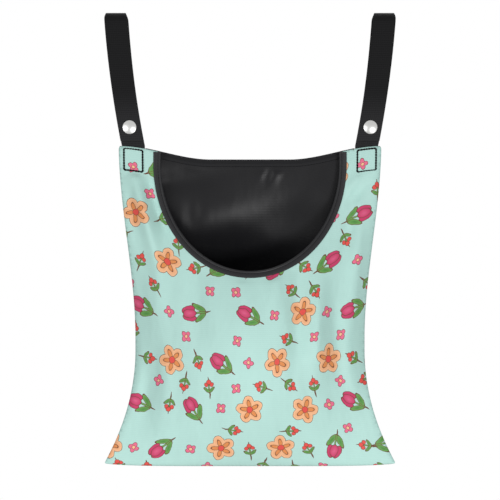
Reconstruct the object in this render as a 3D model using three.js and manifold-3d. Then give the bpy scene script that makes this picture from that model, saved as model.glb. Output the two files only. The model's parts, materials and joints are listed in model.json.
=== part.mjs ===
// Hanging peg bag: a printed front panel and a black back panel are sewn into a pocket with a
// bound U-shaped mouth. Two webbing straps are sewn into its top corners, pass over a rail and
// close with press studs.
// Millimetres. +Z is up, +X is to the right seen from the front, and the front faces -Y.
// The origin lies on the axis of the rail, midway between the straps.

import * as THREE from 'three';
import { mergeVertices } from 'three/addons/utils/BufferGeometryUtils.js';
import Module from 'manifold-3d';

const wasm = await Module();
wasm.setup();

// Fits
const FIT_GAP = 0.3; // between pieces that lie against each other
const BINDING_GAP = 0.45; // between a folded tape and the cloth inside it

// Rail that the bag hangs on
const RAIL_DIAMETER = 20;
const RAIL_CLEARANCE = 0.5;

// Webbing straps
const STRAP_WIDTH = 25.4;
const STRAP_THICKNESS = 1.6;
const STRAP_SPREAD = 295; // centre to centre on the rail
const STRAP_DROP = 134; // rail axis to the fold line at the top of the bag
const STRAP_LEAN = 0.5; // share of the inward lean that is straight; the rest is curved
const TAB_LENGTH = 29.5; // end of the strap that is sewn inside the bag
const FLAP_END_RISE = 5; // free end of the flap above the fold line

// Press studs
const SNAP_RISE = 20; // centre above the fold line
const SNAP_STRAIGHT = 14; // upright strap above the centre
const CAP_DIAMETER = 15;
const CAP_RIM = 0.7;
const CAP_CROWN = 1.7;
const SHANK_DIAMETER = 3;
const FLANGE_DIAMETER = 10.5;
const FLANGE_THICKNESS = 0.8;
const KNOB_DIAMETER = 6;
const KNOB_NECK_DIAMETER = 5.2;
const KNOB_HEIGHT = 3.4;
const SOCKET_WALL = 1.8; // outside the spring's groove
const SOCKET_FLOOR = 1.1;
const SOCKET_CLEARANCE = 0.35; // round the knob
const SPRING_WIRE = 0.8;
const SPRING_MOUTH = 40; // degrees left open in the spring ring

// Bag
const TOP_WIDTH = 289;
const WAIST_WIDTH = 252;
const BOTTOM_WIDTH = 321;
const BAG_HEIGHT = 347.5; // at the side seams
const BELLY_RISE = 123; // height above the bottom corners where the bag is fullest and narrowest
const FRONT_BULGE = 60;
const BACK_BULGE = 51;
const FRONT_GAPE = 4; // how far the top edges stand off the middle plane
const BACK_GAPE = 6;
const BOTTOM_SAG = 4.5;
const TOP_DIP = 15.5; // sag of the top edge below the corners
const CLOTH_THICKNESS = 1.2;
const SEAM_WIDTH = 3.2;

// Mouth and tapes
const MOUTH_WIDTH = 198; // between the cut edges
const MOUTH_DEPTH = 138; // from the top corners to the lowest point of the cut
const MOUTH_STRAIGHT = 20; // upright stretch above the half ellipse
const BINDING_WIDTH = 8.2;
const BINDING_THICKNESS = 0.8;

// Box stitching that holds the straps
const STITCH_INSET = 2.4;
const THREAD = 1.3;

// Facets
const PANEL_COLUMNS = 20;
const PANEL_ROWS = 24;
const MOUTH_STEPS = 36;
const EDGE_STEPS = 20;
const STITCH_STEPS = 4; // along each side of a box of stitching
const RUN_STEPS = 6;
const LOOP_STEP = 15; // degrees
const ROUND_SIDES = 24;
const WIRE_SIDES = 6;

// Shape exponents of the bag
const SIDE_EASE = 1.25; // side seams above the waist
const FLARE_EASE = 1.75; // side seams below the waist
const BELLY_EASE = 2.2; // how roundly the belly turns in to the bottom seam
const DIP_FLAT = 0.3; // share of the sagging top edge that is level in the middle

// Levels and faces that follow from the driving dimensions
const foldLevel = -STRAP_DROP;
const bagTop = foldLevel - FIT_GAP;
const bagBottom = bagTop - BAG_HEIGHT;
const snapLevel = foldLevel + SNAP_RISE;
const kneeLevel = snapLevel + SNAP_STRAIGHT;
const flapEnd = foldLevel + FLAP_END_RISE;
const loopRadius = RAIL_DIAMETER / 2 + RAIL_CLEARANCE + STRAP_THICKNESS / 2;
const loopTop = loopRadius + STRAP_THICKNESS / 2;
const panelFace = STRAP_THICKNESS / 2 + FIT_GAP;
const footCentre = TOP_WIDTH / 2 - SEAM_WIDTH - FIT_GAP - STRAP_WIDTH / 2;
const footInnerEdge = footCentre - STRAP_WIDTH / 2;

// Press stud stack, from the middle of the rear strap towards the front
const studBack = -STRAP_THICKNESS / 2 - FIT_GAP;
const studFace = studBack - FLANGE_THICKNESS;
const knobTip = studFace - KNOB_HEIGHT;
const socketBack = studFace - FIT_GAP;
const socketFloor = knobTip - FIT_GAP;
const socketFront = socketFloor - SOCKET_FLOOR;
const flapMiddle = socketFront - FIT_GAP - STRAP_THICKNESS / 2;
const capBack = flapMiddle - STRAP_THICKNESS / 2 - FIT_GAP;
const shankHole = SHANK_DIAMETER / 2 + FIT_GAP;
const socketBore = KNOB_DIAMETER / 2 + SOCKET_CLEARANCE;
const springLevel = studFace - KNOB_HEIGHT / 2;
const springRadius = socketBore + SPRING_WIRE / 2;
const grooveRadius = springRadius + SPRING_WIRE / 2 + FIT_GAP;
const grooveHalf = SPRING_WIRE / 2 + FIT_GAP;

// Materials
function cloth(name, color, roughness) {
  return new THREE.MeshStandardMaterial({ name, color, roughness, metalness: 0 });
}

function metal(name, color, roughness) {
  return new THREE.MeshStandardMaterial({ name, color, roughness, metalness: 1 });
}

const printedCloth = cloth('printed cloth', 0xb4ded5, 0.75);
const blackCloth = cloth('black cloth', 0x2b2b2d, 0.55);
const blackTape = cloth('black tape', 0x343536, 0.7);
const blackWebbing = cloth('black webbing', 0x1f1f20, 0.85);
const blackThread = cloth('black thread', 0x17171a, 0.8);
const nickel = metal('nickel', 0xd6d6d4, 0.3);
const springSteel = metal('spring steel', 0x9a9ba0, 0.35);

// Geometry helpers
const MERGE_DISTANCE = 1e-4;

function signedVolume(points, triangles) {
  let six = 0;
  for (const [a, b, c] of triangles) {
    six += points[a].dot(points[b].clone().cross(points[c]));
  }
  return six / 6;
}

// A closed geometry from points and triangles, turned so that its faces point out.
function closedGeometry(points, triangles) {
  const inward = signedVolume(points, triangles) < 0;
  const index = triangles.flatMap(([a, b, c]) => (inward ? [a, c, b] : [a, b, c]));
  return new THREE.BufferGeometry().setFromPoints(points).setIndex(index);
}

// A three.js geometry with its seams merged and its collapsed triangles dropped.
function closeSeams(geometry) {
  const bare = geometry.clone();
  bare.deleteAttribute('normal');
  bare.deleteAttribute('uv');
  const merged = mergeVertices(bare, MERGE_DISTANCE);
  const position = merged.getAttribute('position');
  const points = [];
  for (let i = 0; i < position.count; i++) {
    points.push(new THREE.Vector3().fromBufferAttribute(position, i));
  }
  const triangles = [];
  for (let i = 0; i < merged.index.count; i += 3) {
    const [a, b, c] = merged.index.array.slice(i, i + 3);
    if (a !== b && b !== c && c !== a) {
      triangles.push([a, b, c]);
    }
  }
  return closedGeometry(points, triangles);
}

function toSolid(geometry) {
  return new wasm.Manifold(new wasm.Mesh({
    numProp: 3,
    vertProperties: new Float32Array(geometry.getAttribute('position').array),
    triVerts: new Uint32Array(geometry.index.array),
  }));
}

function toGeometry(solid) {
  const mesh = solid.getMesh();
  const position = new THREE.BufferAttribute(new Float32Array(mesh.vertProperties), 3);
  const index = new THREE.BufferAttribute(new Uint32Array(mesh.triVerts), 1);
  return new THREE.BufferGeometry().setAttribute('position', position).setIndex(index);
}

function cut(geometry, tool) {
  return toGeometry(toSolid(geometry).subtract(toSolid(closeSeams(tool))));
}

// Joins a row of rings, each the same outline in space. The ends are closed with the
// triangles in caps; without caps the row closes on itself.
function loft(rings, caps) {
  const sides = rings[0].length;
  const last = caps ? rings.length - 1 : rings.length;
  const triangles = [];
  for (let i = 0; i < last; i++) {
    const here = i * sides;
    const there = ((i + 1) % rings.length) * sides;
    for (let k = 0; k < sides; k++) {
      const next = (k + 1) % sides;
      triangles.push([here + k, here + next, there + next]);
      triangles.push([here + k, there + next, there + k]);
    }
  }
  if (caps) {
    const end = (rings.length - 1) * sides;
    for (const [a, b, c] of caps) {
      triangles.push([c, b, a]);
      triangles.push([end + a, end + b, end + c]);
    }
  }
  return closedGeometry(rings.flat(), triangles);
}

const QUAD_CAPS = [[0, 1, 2], [0, 2, 3]];

// Triangles that fill an outline of [u, v] pairs and run round it the same way.
function capTriangles(outline) {
  const points = outline.map(([u, v]) => new THREE.Vector2(u, v));
  const clockwise = THREE.ShapeUtils.isClockWise(points);
  return THREE.ShapeUtils.triangulateShape(points, []).map(([a, b, c]) => {
    const same = THREE.ShapeUtils.isClockWise([points[a], points[b], points[c]]) === clockwise;
    return same ? [a, b, c] : [a, c, b];
  });
}

// A solid of revolution about a line along Y, from [radius, y] pairs.
function turned(profile, sides = ROUND_SIDES) {
  const points = profile.map(([radius, y]) => new THREE.Vector2(radius, y));
  return closeSeams(new THREE.LatheGeometry(points, sides));
}

function range(from, to, steps) {
  return Array.from({ length: steps + 1 }, (_, i) => from + ((to - from) * i) / steps);
}

// Outline of the bag
// Half the bag's width, at a share up of its height.
function halfWidth(up) {
  const rise = up * BAG_HEIGHT;
  if (rise < BELLY_RISE) {
    const flare = (1 - rise / BELLY_RISE) ** FLARE_EASE;
    return (WAIST_WIDTH + (BOTTOM_WIDTH - WAIST_WIDTH) * flare) / 2;
  }
  const spread = ((rise - BELLY_RISE) / (BAG_HEIGHT - BELLY_RISE)) ** SIDE_EASE;
  return (WAIST_WIDTH + (TOP_WIDTH - WAIST_WIDTH) * spread) / 2;
}

// How far a panel stands off the middle plane halfway across, at a share up of the height.
function bulgeAt(up, most, gape) {
  const rise = up * BAG_HEIGHT;
  if (rise < BELLY_RISE) {
    return most * (1 - (1 - rise / BELLY_RISE) ** BELLY_EASE);
  }
  const turn = (Math.PI * (rise - BELLY_RISE)) / (BAG_HEIGHT - BELLY_RISE);
  return gape + ((most - gape) * (1 + Math.cos(turn))) / 2;
}

// The top edge hangs in a flat curve between the corners.
function topEdge(x) {
  const share = (2 * Math.abs(x)) / TOP_WIDTH;
  return bagTop - TOP_DIP * (1 - THREE.MathUtils.smoothstep(share, DIP_FLAT, 1));
}

function bottomEdge(across) {
  return bagBottom - BOTTOM_SAG * (1 - across * across);
}

const FRONT = { facing: -1, bulge: FRONT_BULGE, gape: FRONT_GAPE };
const BACK = { facing: 1, bulge: BACK_BULGE, gape: BACK_GAPE };

// A point of a panel: across runs from -1 to 1 between the side seams, up from 0 to 1, and
// offset is the depth from the panel's inner face.
function panelPoint(panel, across, up, offset) {
  const bottom = bottomEdge(across);
  const top = topEdge((across * TOP_WIDTH) / 2);
  const stand = panelFace + bulgeAt(up, panel.bulge, panel.gape) * (1 - across * across) + offset;
  return new THREE.Vector3(across * halfWidth(up), panel.facing * stand, bottom + up * (top - bottom));
}

const SOLVE_ROUNDS = 12;

// The point of a panel that lies behind a place in the front view.
function panelAt(panel, x, z, offset) {
  let across = 0;
  let up = 0;
  for (let i = 0; i < SOLVE_ROUNDS; i++) {
    const bottom = bottomEdge(across);
    const top = topEdge((across * TOP_WIDTH) / 2);
    up = Math.min(1, Math.max(0, (z - bottom) / (top - bottom)));
    across = Math.min(1, Math.max(-1, x / halfWidth(up)));
  }
  return panelPoint(panel, across, up, offset);
}

const PROBE = 0.5;

// The outward direction of a panel at a place in the front view.
function panelNormal(panel, x, z) {
  const sideways = panelAt(panel, x + PROBE, z, 0).sub(panelAt(panel, x - PROBE, z, 0));
  const upwards = panelAt(panel, x, z + PROBE, 0).sub(panelAt(panel, x, z - PROBE, 0));
  const normal = sideways.cross(upwards).normalize();
  return normal.y * panel.facing < 0 ? normal.negate() : normal;
}

// A whole panel of cloth, from an inner and an outer sheet of points.
function panelShell(panel) {
  const columns = range(-1, 1, PANEL_COLUMNS);
  const rows = range(0, 1, PANEL_ROWS);
  const points = [];
  for (const offset of [0, CLOTH_THICKNESS]) {
    for (const up of rows) {
      for (const across of columns) {
        points.push(panelPoint(panel, across, up, offset));
      }
    }
  }
  const wide = columns.length;
  const sheet = wide * rows.length;
  const triangles = [];
  const quad = (a, b, c, d) => {
    triangles.push([a, b, c]);
    triangles.push([a, c, d]);
  };
  for (let r = 0; r < PANEL_ROWS; r++) {
    for (let c = 0; c < PANEL_COLUMNS; c++) {
      const a = r * wide + c;
      quad(a, a + wide, a + wide + 1, a + 1);
      quad(sheet + a, sheet + a + 1, sheet + a + wide + 1, sheet + a + wide);
    }
  }
  const rim = [
    ...range(0, PANEL_COLUMNS, PANEL_COLUMNS),
    ...range(1, PANEL_ROWS, PANEL_ROWS - 1).map((r) => r * wide + PANEL_COLUMNS),
    ...range(PANEL_COLUMNS - 1, 0, PANEL_COLUMNS - 1).map((c) => PANEL_ROWS * wide + c),
    ...range(PANEL_ROWS - 1, 1, PANEL_ROWS - 2).map((r) => r * wide),
  ];
  rim.forEach((a, i) => {
    const b = rim[(i + 1) % rim.length];
    quad(a, b, sheet + b, sheet + a);
  });
  return closedGeometry(points, triangles);
}

// Mouth
const mouthCentre = bagTop - MOUTH_STRAIGHT;

// The cut edge of the mouth in the front view, from the top left corner round to the top right.
function mouthCurve() {
  const left = -MOUTH_WIDTH / 2;
  const start = new THREE.Vector2(left, topEdge(left));
  const curve = range(Math.PI, 2 * Math.PI, MOUTH_STEPS).map((angle) => new THREE.Vector2(
    (Math.cos(angle) * MOUTH_WIDTH) / 2,
    mouthCentre + Math.sin(angle) * (MOUTH_DEPTH - MOUTH_STRAIGHT),
  ));
  return [start, ...curve, new THREE.Vector2(-start.x, start.y)];
}

function mouthTool() {
  const reach = FRONT_BULGE + panelFace + CLOTH_THICKNESS;
  const curve = mouthCurve();
  const above = bagTop + TOP_DIP;
  const outline = new THREE.Shape([
    new THREE.Vector2(-MOUTH_WIDTH / 2, above),
    ...curve,
    new THREE.Vector2(MOUTH_WIDTH / 2, above),
  ]);
  const tool = new THREE.ExtrudeGeometry(outline, { depth: 2 * reach, bevelEnabled: false });
  return tool.rotateX(Math.PI / 2).translate(0, reach, 0);
}

// A tape folded over the edge of a panel: out over the cloth's outer face, round the edge and
// back along the inner face. The place open lies beyond the edge in the front view.
function edgeTape(panel, curve, open) {
  const leg = BINDING_WIDTH - BINDING_GAP - BINDING_THICKNESS;
  const rings = curve.map((place, i) => {
    const before = curve[Math.max(0, i - 1)];
    const after = curve[Math.min(curve.length - 1, i + 1)];
    const seat = panelAt(panel, place.x, place.y, 0);
    const along = panelAt(panel, after.x, after.y, 0).sub(panelAt(panel, before.x, before.y, 0));
    const normal = panelNormal(panel, place.x, place.y);
    const beyond = along.cross(normal).normalize();
    const towards = new THREE.Vector3(open.x - place.x, 0, open.y - place.y);
    if (beyond.dot(towards) < 0) {
      beyond.negate();
    }
    const clothFace = CLOTH_THICKNESS * Math.abs(normal.y) + BINDING_GAP;
    return tapeSection(leg, clothFace).map(([u, v]) => (
      seat.clone().addScaledVector(beyond, u).addScaledVector(normal, v)
    ));
  });
  return loft(rings, capTriangles(tapeSection(leg, CLOTH_THICKNESS)));
}

function tapeSection(leg, clothFace) {
  const outside = BINDING_GAP + BINDING_THICKNESS;
  return [
    [-leg, clothFace],
    [-leg, clothFace + BINDING_THICKNESS],
    [outside, clothFace + BINDING_THICKNESS],
    [outside, -outside],
    [-leg, -outside],
    [-leg, -BINDING_GAP],
    [BINDING_GAP, -BINDING_GAP],
    [BINDING_GAP, clothFace],
  ];
}

function backHemCurve() {
  const end = footInnerEdge - FIT_GAP;
  return range(-end, end, EDGE_STEPS).map((x) => new THREE.Vector2(x, topEdge(x)));
}

// Side and bottom seam: the turned-in edges between the panels, down one side, along the
// bottom and up the other side.
function seamStrip() {
  const corners = [
    ...range(1, 0, PANEL_ROWS).map((up) => [-1, up]),
    ...range(-1, 1, PANEL_COLUMNS).slice(1, -1).map((across) => [across, 0]),
    ...range(0, 1, PANEL_ROWS).map((up) => [1, up]),
  ];
  const edge = corners.map(([across, up]) => {
    const p = panelPoint(FRONT, across, up, 0);
    return new THREE.Vector2(p.x, p.z);
  });
  const half = STRAP_THICKNESS / 2;
  const rings = edge.map((p, i) => {
    const inner = p.clone().add(mitre(edge, i).multiplyScalar(SEAM_WIDTH));
    return [
      new THREE.Vector3(p.x, -half, p.y),
      new THREE.Vector3(p.x, half, p.y),
      new THREE.Vector3(inner.x, half, inner.y),
      new THREE.Vector3(inner.x, -half, inner.y),
    ];
  });
  return loft(rings, QUAD_CAPS);
}

// The direction to the left of a path at one of its points, longer at a corner so that a
// parallel path keeps its distance.
function mitre(path, i) {
  const turnLeft = (a, b) => new THREE.Vector2(a.y - b.y, b.x - a.x).normalize();
  const before = turnLeft(path[Math.max(0, i - 1)], path[Math.max(1, i)]);
  const after = turnLeft(path[Math.min(path.length - 2, i)], path[Math.min(path.length - 1, i + 1)]);
  const sum = before.clone().add(after).normalize();
  return sum.divideScalar(sum.dot(after));
}

// Straps
// The middle of a strap above the fold line, as it leans in from the rail to the bag.
function runCentre(z) {
  const down = (loopTop - z) / (loopTop - foldLevel);
  const lean = STRAP_LEAN * down + (1 - STRAP_LEAN) * down * down;
  return STRAP_SPREAD / 2 + (footCentre - STRAP_SPREAD / 2) * lean;
}

// The middle of the sewn end, which follows the side seam.
function tabCentre(z) {
  const up = (z - bagBottom) / BAG_HEIGHT;
  return halfWidth(up) - SEAM_WIDTH - FIT_GAP - STRAP_WIDTH / 2;
}

// A flat band along a path of { y, z, thickness } in the YZ plane, with its width along X.
function band(path, centre, side) {
  const line = path.map((p) => new THREE.Vector2(p.y, p.z));
  const rings = path.map((p, i) => {
    const out = mitre(line, i).multiplyScalar(p.thickness / 2);
    const x = side * centre(p.z);
    const near = x - STRAP_WIDTH / 2;
    const far = x + STRAP_WIDTH / 2;
    return [
      new THREE.Vector3(near, p.y + out.x, p.z + out.y),
      new THREE.Vector3(far, p.y + out.x, p.z + out.y),
      new THREE.Vector3(far, p.y - out.x, p.z - out.y),
      new THREE.Vector3(near, p.y - out.x, p.z - out.y),
    ];
  });
  return loft(rings, QUAD_CAPS);
}

function station(y, z, thickness = STRAP_THICKNESS) {
  return { y, z, thickness };
}

function loopStation(degrees) {
  const angle = THREE.MathUtils.degToRad(degrees);
  return station(loopRadius * Math.cos(angle), loopRadius * Math.sin(angle));
}

function loopStations(from, to) {
  return range(from, to, Math.round((to - from) / LOOP_STEP)).map((degrees) => loopStation(degrees));
}

function straight(from, to, steps) {
  return range(0, 1, steps).map((t) => station(
    THREE.MathUtils.lerp(from.y, to.y, t),
    THREE.MathUtils.lerp(from.z, to.z, t),
  ));
}

// The loop has a level facet on top of the rail. The rear strap ends and the flap begins near
// that facet's front edge, where the strap folds when the flap is opened.
const loopStart = LOOP_STEP / 2;
const facetBack = 90 - LOOP_STEP / 2;
const facetFront = 90 + LOOP_STEP / 2;
const crest = loopStation(facetFront);
const flapStart = station(crest.y + FIT_GAP, crest.z);
const runEnd = station(flapStart.y + FIT_GAP, crest.z);

function shankTool(side) {
  const length = 4 * Math.abs(capBack);
  const tool = new THREE.CylinderGeometry(shankHole, shankHole, length, ROUND_SIDES / 2);
  return tool.translate(side * runCentre(snapLevel), 0, snapLevel);
}

// The rear strap: up from the fold line, past the press stud and over the rail. Its lower end
// is rounded about the fold line.
function strapRun(side) {
  const half = STRAP_THICKNESS / 2;
  const rounded = [60, 30].map((degrees) => {
    const angle = THREE.MathUtils.degToRad(degrees);
    return station(0, foldLevel - half * Math.sin(angle), STRAP_THICKNESS * Math.cos(angle));
  });
  const knee = station(0, kneeLevel);
  const path = [
    ...rounded,
    ...straight(station(0, foldLevel), knee, 2),
    ...straight(knee, loopStation(loopStart), RUN_STEPS).slice(1, -1),
    ...loopStations(loopStart, facetBack),
    runEnd,
  ];
  return cut(band(path, runCentre, side), shankTool(side));
}

// The flap: on over the front of the rail and down to its free end.
function strapFlap(side) {
  const knee = station(flapMiddle, kneeLevel);
  const loopEnd = 180 - loopStart;
  const path = [
    flapStart,
    ...loopStations(facetFront, loopEnd),
    ...straight(loopStation(loopEnd), knee, RUN_STEPS).slice(1),
    ...straight(knee, station(flapMiddle, flapEnd), 2).slice(1),
  ];
  return cut(band(path, runCentre, side), shankTool(side));
}

function strapTab(side) {
  const top = station(0, foldLevel - STRAP_THICKNESS / 2 - FIT_GAP);
  const bottom = station(0, bagTop - TAB_LENGTH);
  return band(straight(top, bottom, STITCH_STEPS), tabCentre, side);
}

// Thread that holds a strap's sewn end: a box of stitching on the face of the bag, with its top
// and bottom along the slope of the top edge. A place in it is given by u, outwards from the
// middle of the strap, and drop, down from the top edge.
function boxStitch(side) {
  const reach = STRAP_WIDTH / 2 - STITCH_INSET;
  const top = STITCH_INSET;
  const bottom = TAB_LENGTH - STITCH_INSET;
  const corners = [[-reach, top], [reach, top], [reach, bottom], [-reach, bottom]];
  const path = corners.flatMap(([u, drop], i) => {
    const [nextU, nextDrop] = corners[(i + 1) % corners.length];
    return range(0, 1, STITCH_STEPS).slice(0, -1).map((t) => [
      THREE.MathUtils.lerp(u, nextU, t),
      THREE.MathUtils.lerp(drop, nextDrop, t),
    ]);
  });
  const middle = (top + bottom) / 2;
  const shrinkU = 1 - THREAD / reach;
  const shrinkDrop = 1 - (2 * THREAD) / (bottom - top);
  const low = CLOTH_THICKNESS + FIT_GAP;
  const high = low + THREAD;
  const rings = path.map(([u, drop]) => {
    const innerDrop = middle + (drop - middle) * shrinkDrop;
    return [
      stitchPoint(side, u, drop, low),
      stitchPoint(side, u, drop, high),
      stitchPoint(side, u * shrinkU, innerDrop, high),
      stitchPoint(side, u * shrinkU, innerDrop, low),
    ];
  });
  return loft(rings, null);
}

function stitchPoint(side, u, drop, offset) {
  const x = tabCentre(bagTop - drop) + u;
  return panelAt(FRONT, side * x, topEdge(x) - drop, offset);
}

// Press studs, each turned about the snap's own axis
function snapCap() {
  const rim = CAP_DIAMETER / 2;
  const crown = range(1, 0, 5).map((share) => [
    rim * share,
    capBack - CAP_RIM - CAP_CROWN * (1 - share * share),
  ]);
  const shank = SHANK_DIAMETER / 2;
  return turned([[0, socketFloor], [shank, socketFloor], [shank, capBack], [rim, capBack], ...crown]);
}

function snapSocket() {
  const outer = grooveRadius + SOCKET_WALL;
  return turned([
    [socketBore, socketBack],
    [outer, socketBack],
    [outer, socketFront],
    [shankHole, socketFront],
    [shankHole, socketFloor],
    [socketBore, socketFloor],
    [socketBore, springLevel - grooveHalf],
    [grooveRadius, springLevel - grooveHalf],
    [grooveRadius, springLevel + grooveHalf],
    [socketBore, springLevel + grooveHalf],
    [socketBore, socketBack],
  ]);
}

class SpringArc extends THREE.Curve {
  getPoint(t, target = new THREE.Vector3()) {
    const mouth = THREE.MathUtils.degToRad(SPRING_MOUTH);
    const angle = mouth / 2 + t * (2 * Math.PI - mouth);
    return target.set(springRadius * Math.cos(angle), springLevel, springRadius * Math.sin(angle));
  }
}

// An open ring of wire in the socket's groove, which grips the neck of the knob.
function snapSpring() {
  const section = new THREE.Shape().absarc(0, 0, SPRING_WIRE / 2, 0, 2 * Math.PI);
  const wire = new THREE.ExtrudeGeometry(section, {
    extrudePath: new SpringArc(),
    steps: ROUND_SIDES,
    curveSegments: WIRE_SIDES / 2,
  });
  return closeSeams(wire);
}

function snapStud() {
  const neck = KNOB_NECK_DIAMETER / 2;
  const knob = KNOB_DIAMETER / 2;
  const shoulder = studFace - KNOB_HEIGHT / 2 - SPRING_WIRE / 2;
  const head = knobTip + (shoulder - knobTip) / 2;
  return turned([
    [shankHole, studBack],
    [FLANGE_DIAMETER / 2, studBack],
    [FLANGE_DIAMETER / 2, studFace],
    [neck, studFace],
    [neck, shoulder],
    [knob, head],
    [neck, knobTip],
    [shankHole, knobTip],
    [shankHole, studBack],
  ]);
}

function snapPost() {
  const seat = STRAP_THICKNESS / 2 + FIT_GAP;
  const back = seat + FLANGE_THICKNESS;
  const rim = FLANGE_DIAMETER / 2;
  const shank = SHANK_DIAMETER / 2;
  return turned([
    [0, knobTip + FIT_GAP],
    [shank, knobTip + FIT_GAP],
    [shank, seat],
    [rim, seat],
    [rim - FLANGE_THICKNESS / 2, back],
    [0, back],
  ]);
}

// Assembly
const bag = new THREE.Group();

function add(name, geometry, material) {
  const mesh = new THREE.Mesh(geometry, material);
  mesh.name = name;
  bag.add(mesh);
  return mesh;
}

add('front_panel', cut(panelShell(FRONT), mouthTool()), printedCloth);
add('back_panel', panelShell(BACK), blackCloth);
add('outer_seam', seamStrip(), blackTape);
const railMiddle = new THREE.Vector2(0, 0);
add('mouth_binding', edgeTape(FRONT, mouthCurve(), railMiddle), blackTape);
add('back_hem_binding', edgeTape(BACK, backHemCurve(), railMiddle), blackTape);

for (const [hand, side] of [['left', -1], ['right', 1]]) {
  add(`${hand}_strap_tab`, strapTab(side), blackWebbing);
  add(`${hand}_box_stitch`, boxStitch(side), blackThread);
  add(`${hand}_strap_run`, strapRun(side), blackWebbing);
  add(`${hand}_strap_flap`, strapFlap(side), blackWebbing);
  const snapPieces = [
    ['snap_cap', snapCap(), nickel],
    ['snap_socket', snapSocket(), nickel],
    ['snap_spring', snapSpring(), springSteel],
    ['snap_stud', snapStud(), nickel],
    ['snap_post', snapPost(), nickel],
  ];
  for (const [name, geometry, material] of snapPieces) {
    add(`${hand}_${name}`, geometry, material).position.set(side * runCentre(snapLevel), 0, snapLevel);
  }
}

export default bag;
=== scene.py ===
"""Hanging peg bag: a printed front and a black back sewn into a pocket with a bound mouth, on webbing
straps that pass over a rail and close with press studs. Metres, +Z up, the printed front faces -Y."""
import json
import math

import bmesh
import bpy
import numpy as np
from bpy.props import FloatProperty, FloatVectorProperty, IntProperty, PointerProperty
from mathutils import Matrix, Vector
from mathutils.geometry import delaunay_2d_cdt


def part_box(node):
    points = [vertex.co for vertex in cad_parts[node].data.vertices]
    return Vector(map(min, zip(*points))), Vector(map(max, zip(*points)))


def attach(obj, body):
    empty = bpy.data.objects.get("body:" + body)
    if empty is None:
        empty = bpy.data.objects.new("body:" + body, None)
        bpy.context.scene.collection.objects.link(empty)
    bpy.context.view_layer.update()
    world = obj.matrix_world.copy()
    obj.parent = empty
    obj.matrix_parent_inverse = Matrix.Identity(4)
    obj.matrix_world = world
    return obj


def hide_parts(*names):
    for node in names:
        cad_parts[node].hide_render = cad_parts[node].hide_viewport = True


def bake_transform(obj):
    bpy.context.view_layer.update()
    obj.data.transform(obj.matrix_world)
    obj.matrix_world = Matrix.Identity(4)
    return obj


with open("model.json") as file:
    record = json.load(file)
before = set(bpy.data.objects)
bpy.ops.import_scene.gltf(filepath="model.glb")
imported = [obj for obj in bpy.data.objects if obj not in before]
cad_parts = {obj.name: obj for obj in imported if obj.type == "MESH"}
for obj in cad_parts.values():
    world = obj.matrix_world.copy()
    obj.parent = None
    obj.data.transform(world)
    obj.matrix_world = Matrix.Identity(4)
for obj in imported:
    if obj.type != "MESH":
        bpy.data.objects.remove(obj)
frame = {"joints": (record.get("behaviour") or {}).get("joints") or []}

bl_info = {
    "name": "Hanging Peg Bag",
    "version": (1, 0, 0),
    "blender": (4, 5, 0),
    "location": "View3D > Sidebar > Peg Bag",
    "description": "Sews a hanging peg bag with a bound mouth, webbing straps and press studs",
    "category": "Object",
}

MM = 0.001
FRONT, BACK = -1, 1  # which way a panel faces along Y
HANDS = (("left", -1), ("right", 1))
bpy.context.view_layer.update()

# Sizes that the frame already holds
PANEL_LOW, PANEL_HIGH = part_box("front_panel")
BAG_TOP = PANEL_HIGH.z
FOLD_LEVEL = next(joint for joint in frame["joints"] if joint["name"] == "bag_swing")["pos_m"][2]
FLAP_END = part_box("left_strap_flap")[0].z
CAP_LOW, CAP_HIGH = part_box("left_snap_cap")
SNAP_X = abs(CAP_LOW.x + CAP_HIGH.x) / 2
SNAP_LEVEL = (CAP_LOW.z + CAP_HIGH.z) / 2


def shade(code):
    """Linear colour with alpha from an sRGB hex code."""
    parts = [int(code[i : i + 2], 16) / 255 for i in (1, 3, 5)]
    linear = [c / 12.92 if c <= 0.04045 else ((c + 0.055) / 1.055) ** 2.4 for c in parts]
    return (*linear, 1.0)


def length(name, about, default):
    """A size in metres that a user can change."""
    return FloatProperty(name=name, description=about, default=default, unit="LENGTH", precision=4)


def colour(name, about, code):
    """A colour that a user can change, from its hex code."""
    return FloatVectorProperty(
        name=name, description=about, default=shade(code), size=4, min=0, max=1, subtype="COLOR"
    )


class BagCut(bpy.types.PropertyGroup):
    """Sizes of the two panels and of the mouth."""

    top_width: length("Top width", "Between the top corners", 289 * MM)
    waist_width: length("Waist width", "Between the side seams where the bag is narrowest", 252 * MM)
    bottom_width: length("Bottom width", "Between the bottom corners", PANEL_HIGH.x - PANEL_LOW.x)
    height: length("Height", "Top corner to bottom corner", 349.2 * MM)
    waist_rise: length("Waist rise", "Bottom corners to the waist, where the belly is full", 124.7 * MM)
    front_belly: length("Front belly", "How far the front stands out", 60 * MM)
    back_belly: length("Back belly", "How far the back stands out", 51 * MM)
    front_gape: length("Front gape", "How far the front's top edge stands off", 4 * MM)
    back_gape: length("Back gape", "How far the back's top edge stands off", 6 * MM)
    bottom_sag: length("Bottom sag", "Drop of the bottom seam in the middle", 2.8 * MM)
    top_dip: length("Top dip", "Sag of the top edge below the corners", 15.5 * MM)
    mouth_width: length("Mouth width", "Between the cut edges", 198 * MM)
    mouth_depth: length("Mouth depth", "Top corners to the lowest point of the cut", 138 * MM)
    mouth_straight: length("Mouth straight", "Upright stretch above the half ellipse", 20 * MM)
    cloth: length("Cloth", "Thickness of the panels", 0.7 * MM)
    stand: length("Stand", "Outer face of a panel off the middle plane at its edges", 2.3 * MM)
    seam_roll: length("Seam roll", "How far the front rolls over the seam to the back", 0.8 * MM)
    seam_turn: length("Seam turn", "Width over which a panel turns in to the seam", 5 * MM)
    grain: length("Mesh grain", "Distance between the points of the simulated cloth", 5 * MM)
    ease: FloatProperty(
        name="Ease", description="Spare width in the flat cut", default=0.03, subtype="FACTOR"
    )


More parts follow.
